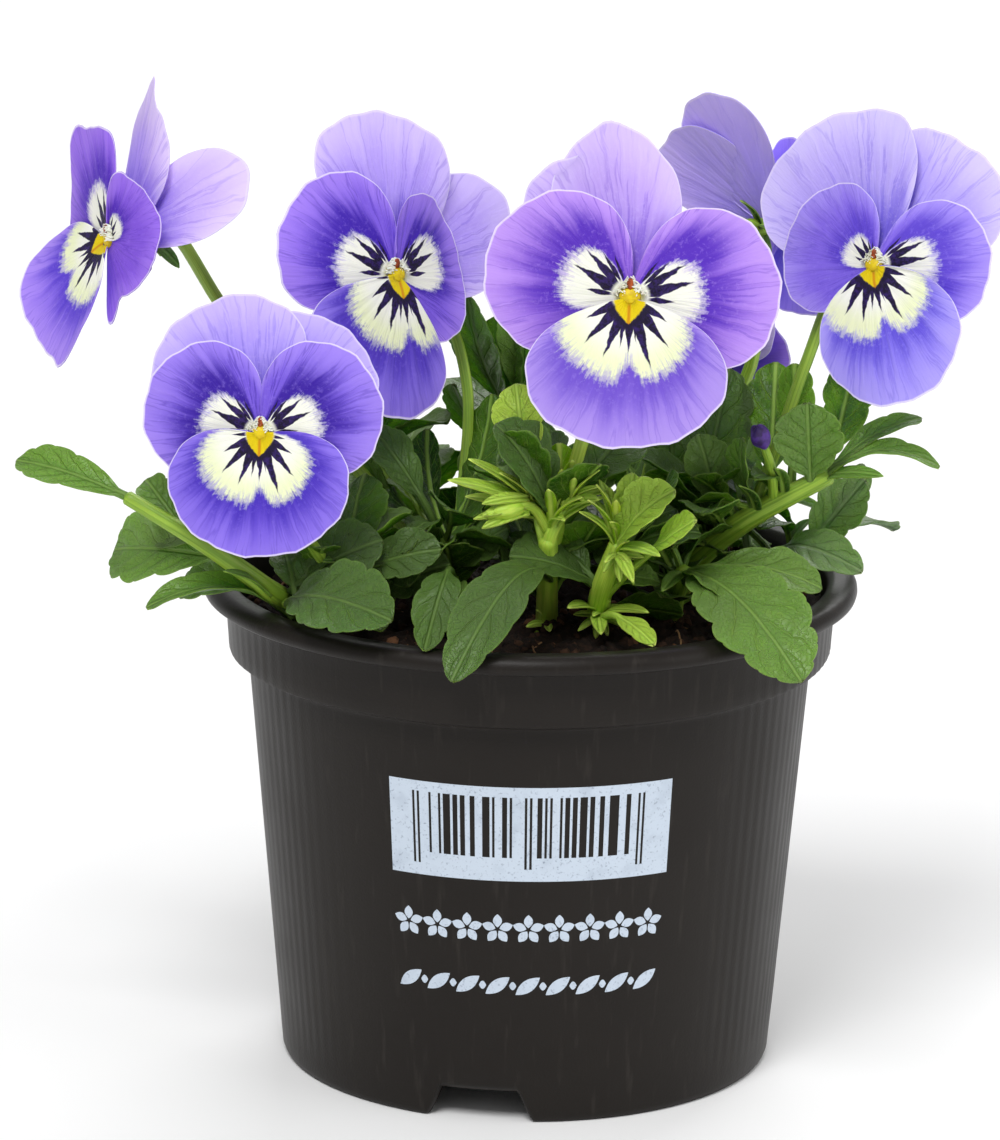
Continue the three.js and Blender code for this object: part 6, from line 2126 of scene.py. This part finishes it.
        Leaf((18, 23, 77), (46, 27, 79), 5.4, -14, 0.14, 4, 0.2, 2),
        Leaf((17, 22, 75.5), (20, 50, 80), 5.4, 0, 0.14, 3, 0.2, 2),
        Leaf((22.8, 29.8, 84.8), (11, 40, 92), 4.4, 0, 0.2, 3, 0.2, 2),
    ), lobes=(
        ((18.5, 24, 78), (15, 27, 86), 1.3),
    ), stalks=(
        (BLOOMS["back_right"], ((17, 21, 74), (26, 19, 90), (34, 16, 106), (32, 12, 122))),
        (BLOOMS["back"], ((16.5, 20.5, 73), (18, 18, 86), (21, 18, 97))),
    )),
)

# Where each stem stands in the peat, and its radius there.
STEM_FEET = tuple((points[0][0], points[0][1], start) for shoot in SHOOTS for points, start, _ in shoot.stems
                  if points[0][2] < 70)

# ---------------- Stage ----------------
@dataclass(frozen=True)
class SoftLight:
    """A square soft light: its place in metres, its side in metres and its power in watts."""

    name: str
    place: Point
    size: float
    power: float


@dataclass
class Studio:
    """A pale floor, soft lights and the camera.

    The camera's target and distance are in millimetres, its focal length in the picture's pixels;
    floor is half the floor's side in metres, and the lights face the aim, in metres.
    """

    target: Point = (-4.64, 0.0, 76.0)
    distance: float = 1000.0
    elevation: float = 15.05
    roll: float = 0.6
    focal: float = 6540.0
    image: tuple[int, int] = (1000, 1140)
    sensor: float = 36.0
    clip: tuple[float, float] = (0.05, 20.0)
    floor: float = 6.0
    pale: float = 0.95
    surround: float = 0.45
    aim: Point = (0.0, 0.0, 0.08)
    lights: tuple[SoftLight, ...] = (
        SoftLight("key", (-0.25, -0.9, 1.35), 0.6, 15),
        SoftLight("fill", (1.2, -0.5, 0.6), 0.9, 4.5),
        SoftLight("back", (0.3, 1.1, 0.9), 0.9, 8))

    def camera(self) -> None:
        """The camera, looking at its target from the front and above, turned a little about its axis."""
        (ahead, rise), (c, s) = cos_sin(self.elevation), cos_sin(self.roll)
        forward = np.array([0, ahead, -rise])
        level, upright = np.array([1.0, 0, 0]), np.array([0, rise, ahead])
        right, up = level * c + upright * s, upright * c - level * s
        place = in_frame(np.array(self.target) - forward * self.distance)
        data = bpy.data.cameras.new("camera")
        data.sensor_width = self.sensor
        data.lens = self.focal / max(self.image) * self.sensor
        data.clip_start, data.clip_end = self.clip
        made = put("camera", data)
        rows = [[right[k], up[k], -forward[k], place[k]] for k in range(3)]
        made.matrix_world = Matrix([*rows, [0, 0, 0, 1]])
        bpy.context.scene.camera = made

    def shine(self, light: SoftLight) -> None:
        """Puts up a light that faces the aim.

        Args:
            light: the light.
        """
        data = bpy.data.lights.new(light.name, "AREA")
        data.energy, data.size = light.power, light.size
        made = put(light.name, data)
        made.location = light.place
        made.rotation_euler = (Vector(self.aim) - Vector(light.place)).to_track_quat("-Z", "Y").to_euler()

    def make(self) -> None:
        """Floor, lights, an even pale surround and the camera."""
        far = self.floor
        mesh = bpy.data.meshes.new("floor")
        mesh.from_pydata([(-far, -far, 0), (far, -far, 0), (far, far, 0), (-far, far, 0)], [], [(0, 1, 2, 3)])
        mesh.materials.append(Recipe("floor_pale", Roughness=0.9, Specular_IOR_Level=0.2).finish(
            (self.pale, self.pale, self.pale, 1.0)))
        put("floor", mesh)
        for light in self.lights:
            self.shine(light)
        world = bpy.data.worlds.new("surround")
        world.use_nodes = True
        background = world.node_tree.nodes["Background"]
        background.inputs["Color"].default_value = (1, 1, 1, 1)
        background.inputs["Strength"].default_value = self.surround
        bpy.context.scene.world = world
        bpy.context.scene.view_settings.view_transform = "Standard"
        self.camera()


def main() -> None:
    """Builds everything in order."""
    Studio().make()
    pot = NurseryPot()
    pot.make()
    PotPrint(pot).make()
    PeatFill(pot).make()
    for shoot in SHOOTS:
        shoot.make()
    for bloom in BLOOMS.values():
        bloom.make()
    VioletBud().make()
    CrownFill().make()
    bpy.context.view_layer.update()


if __name__ == "__main__":
    main()
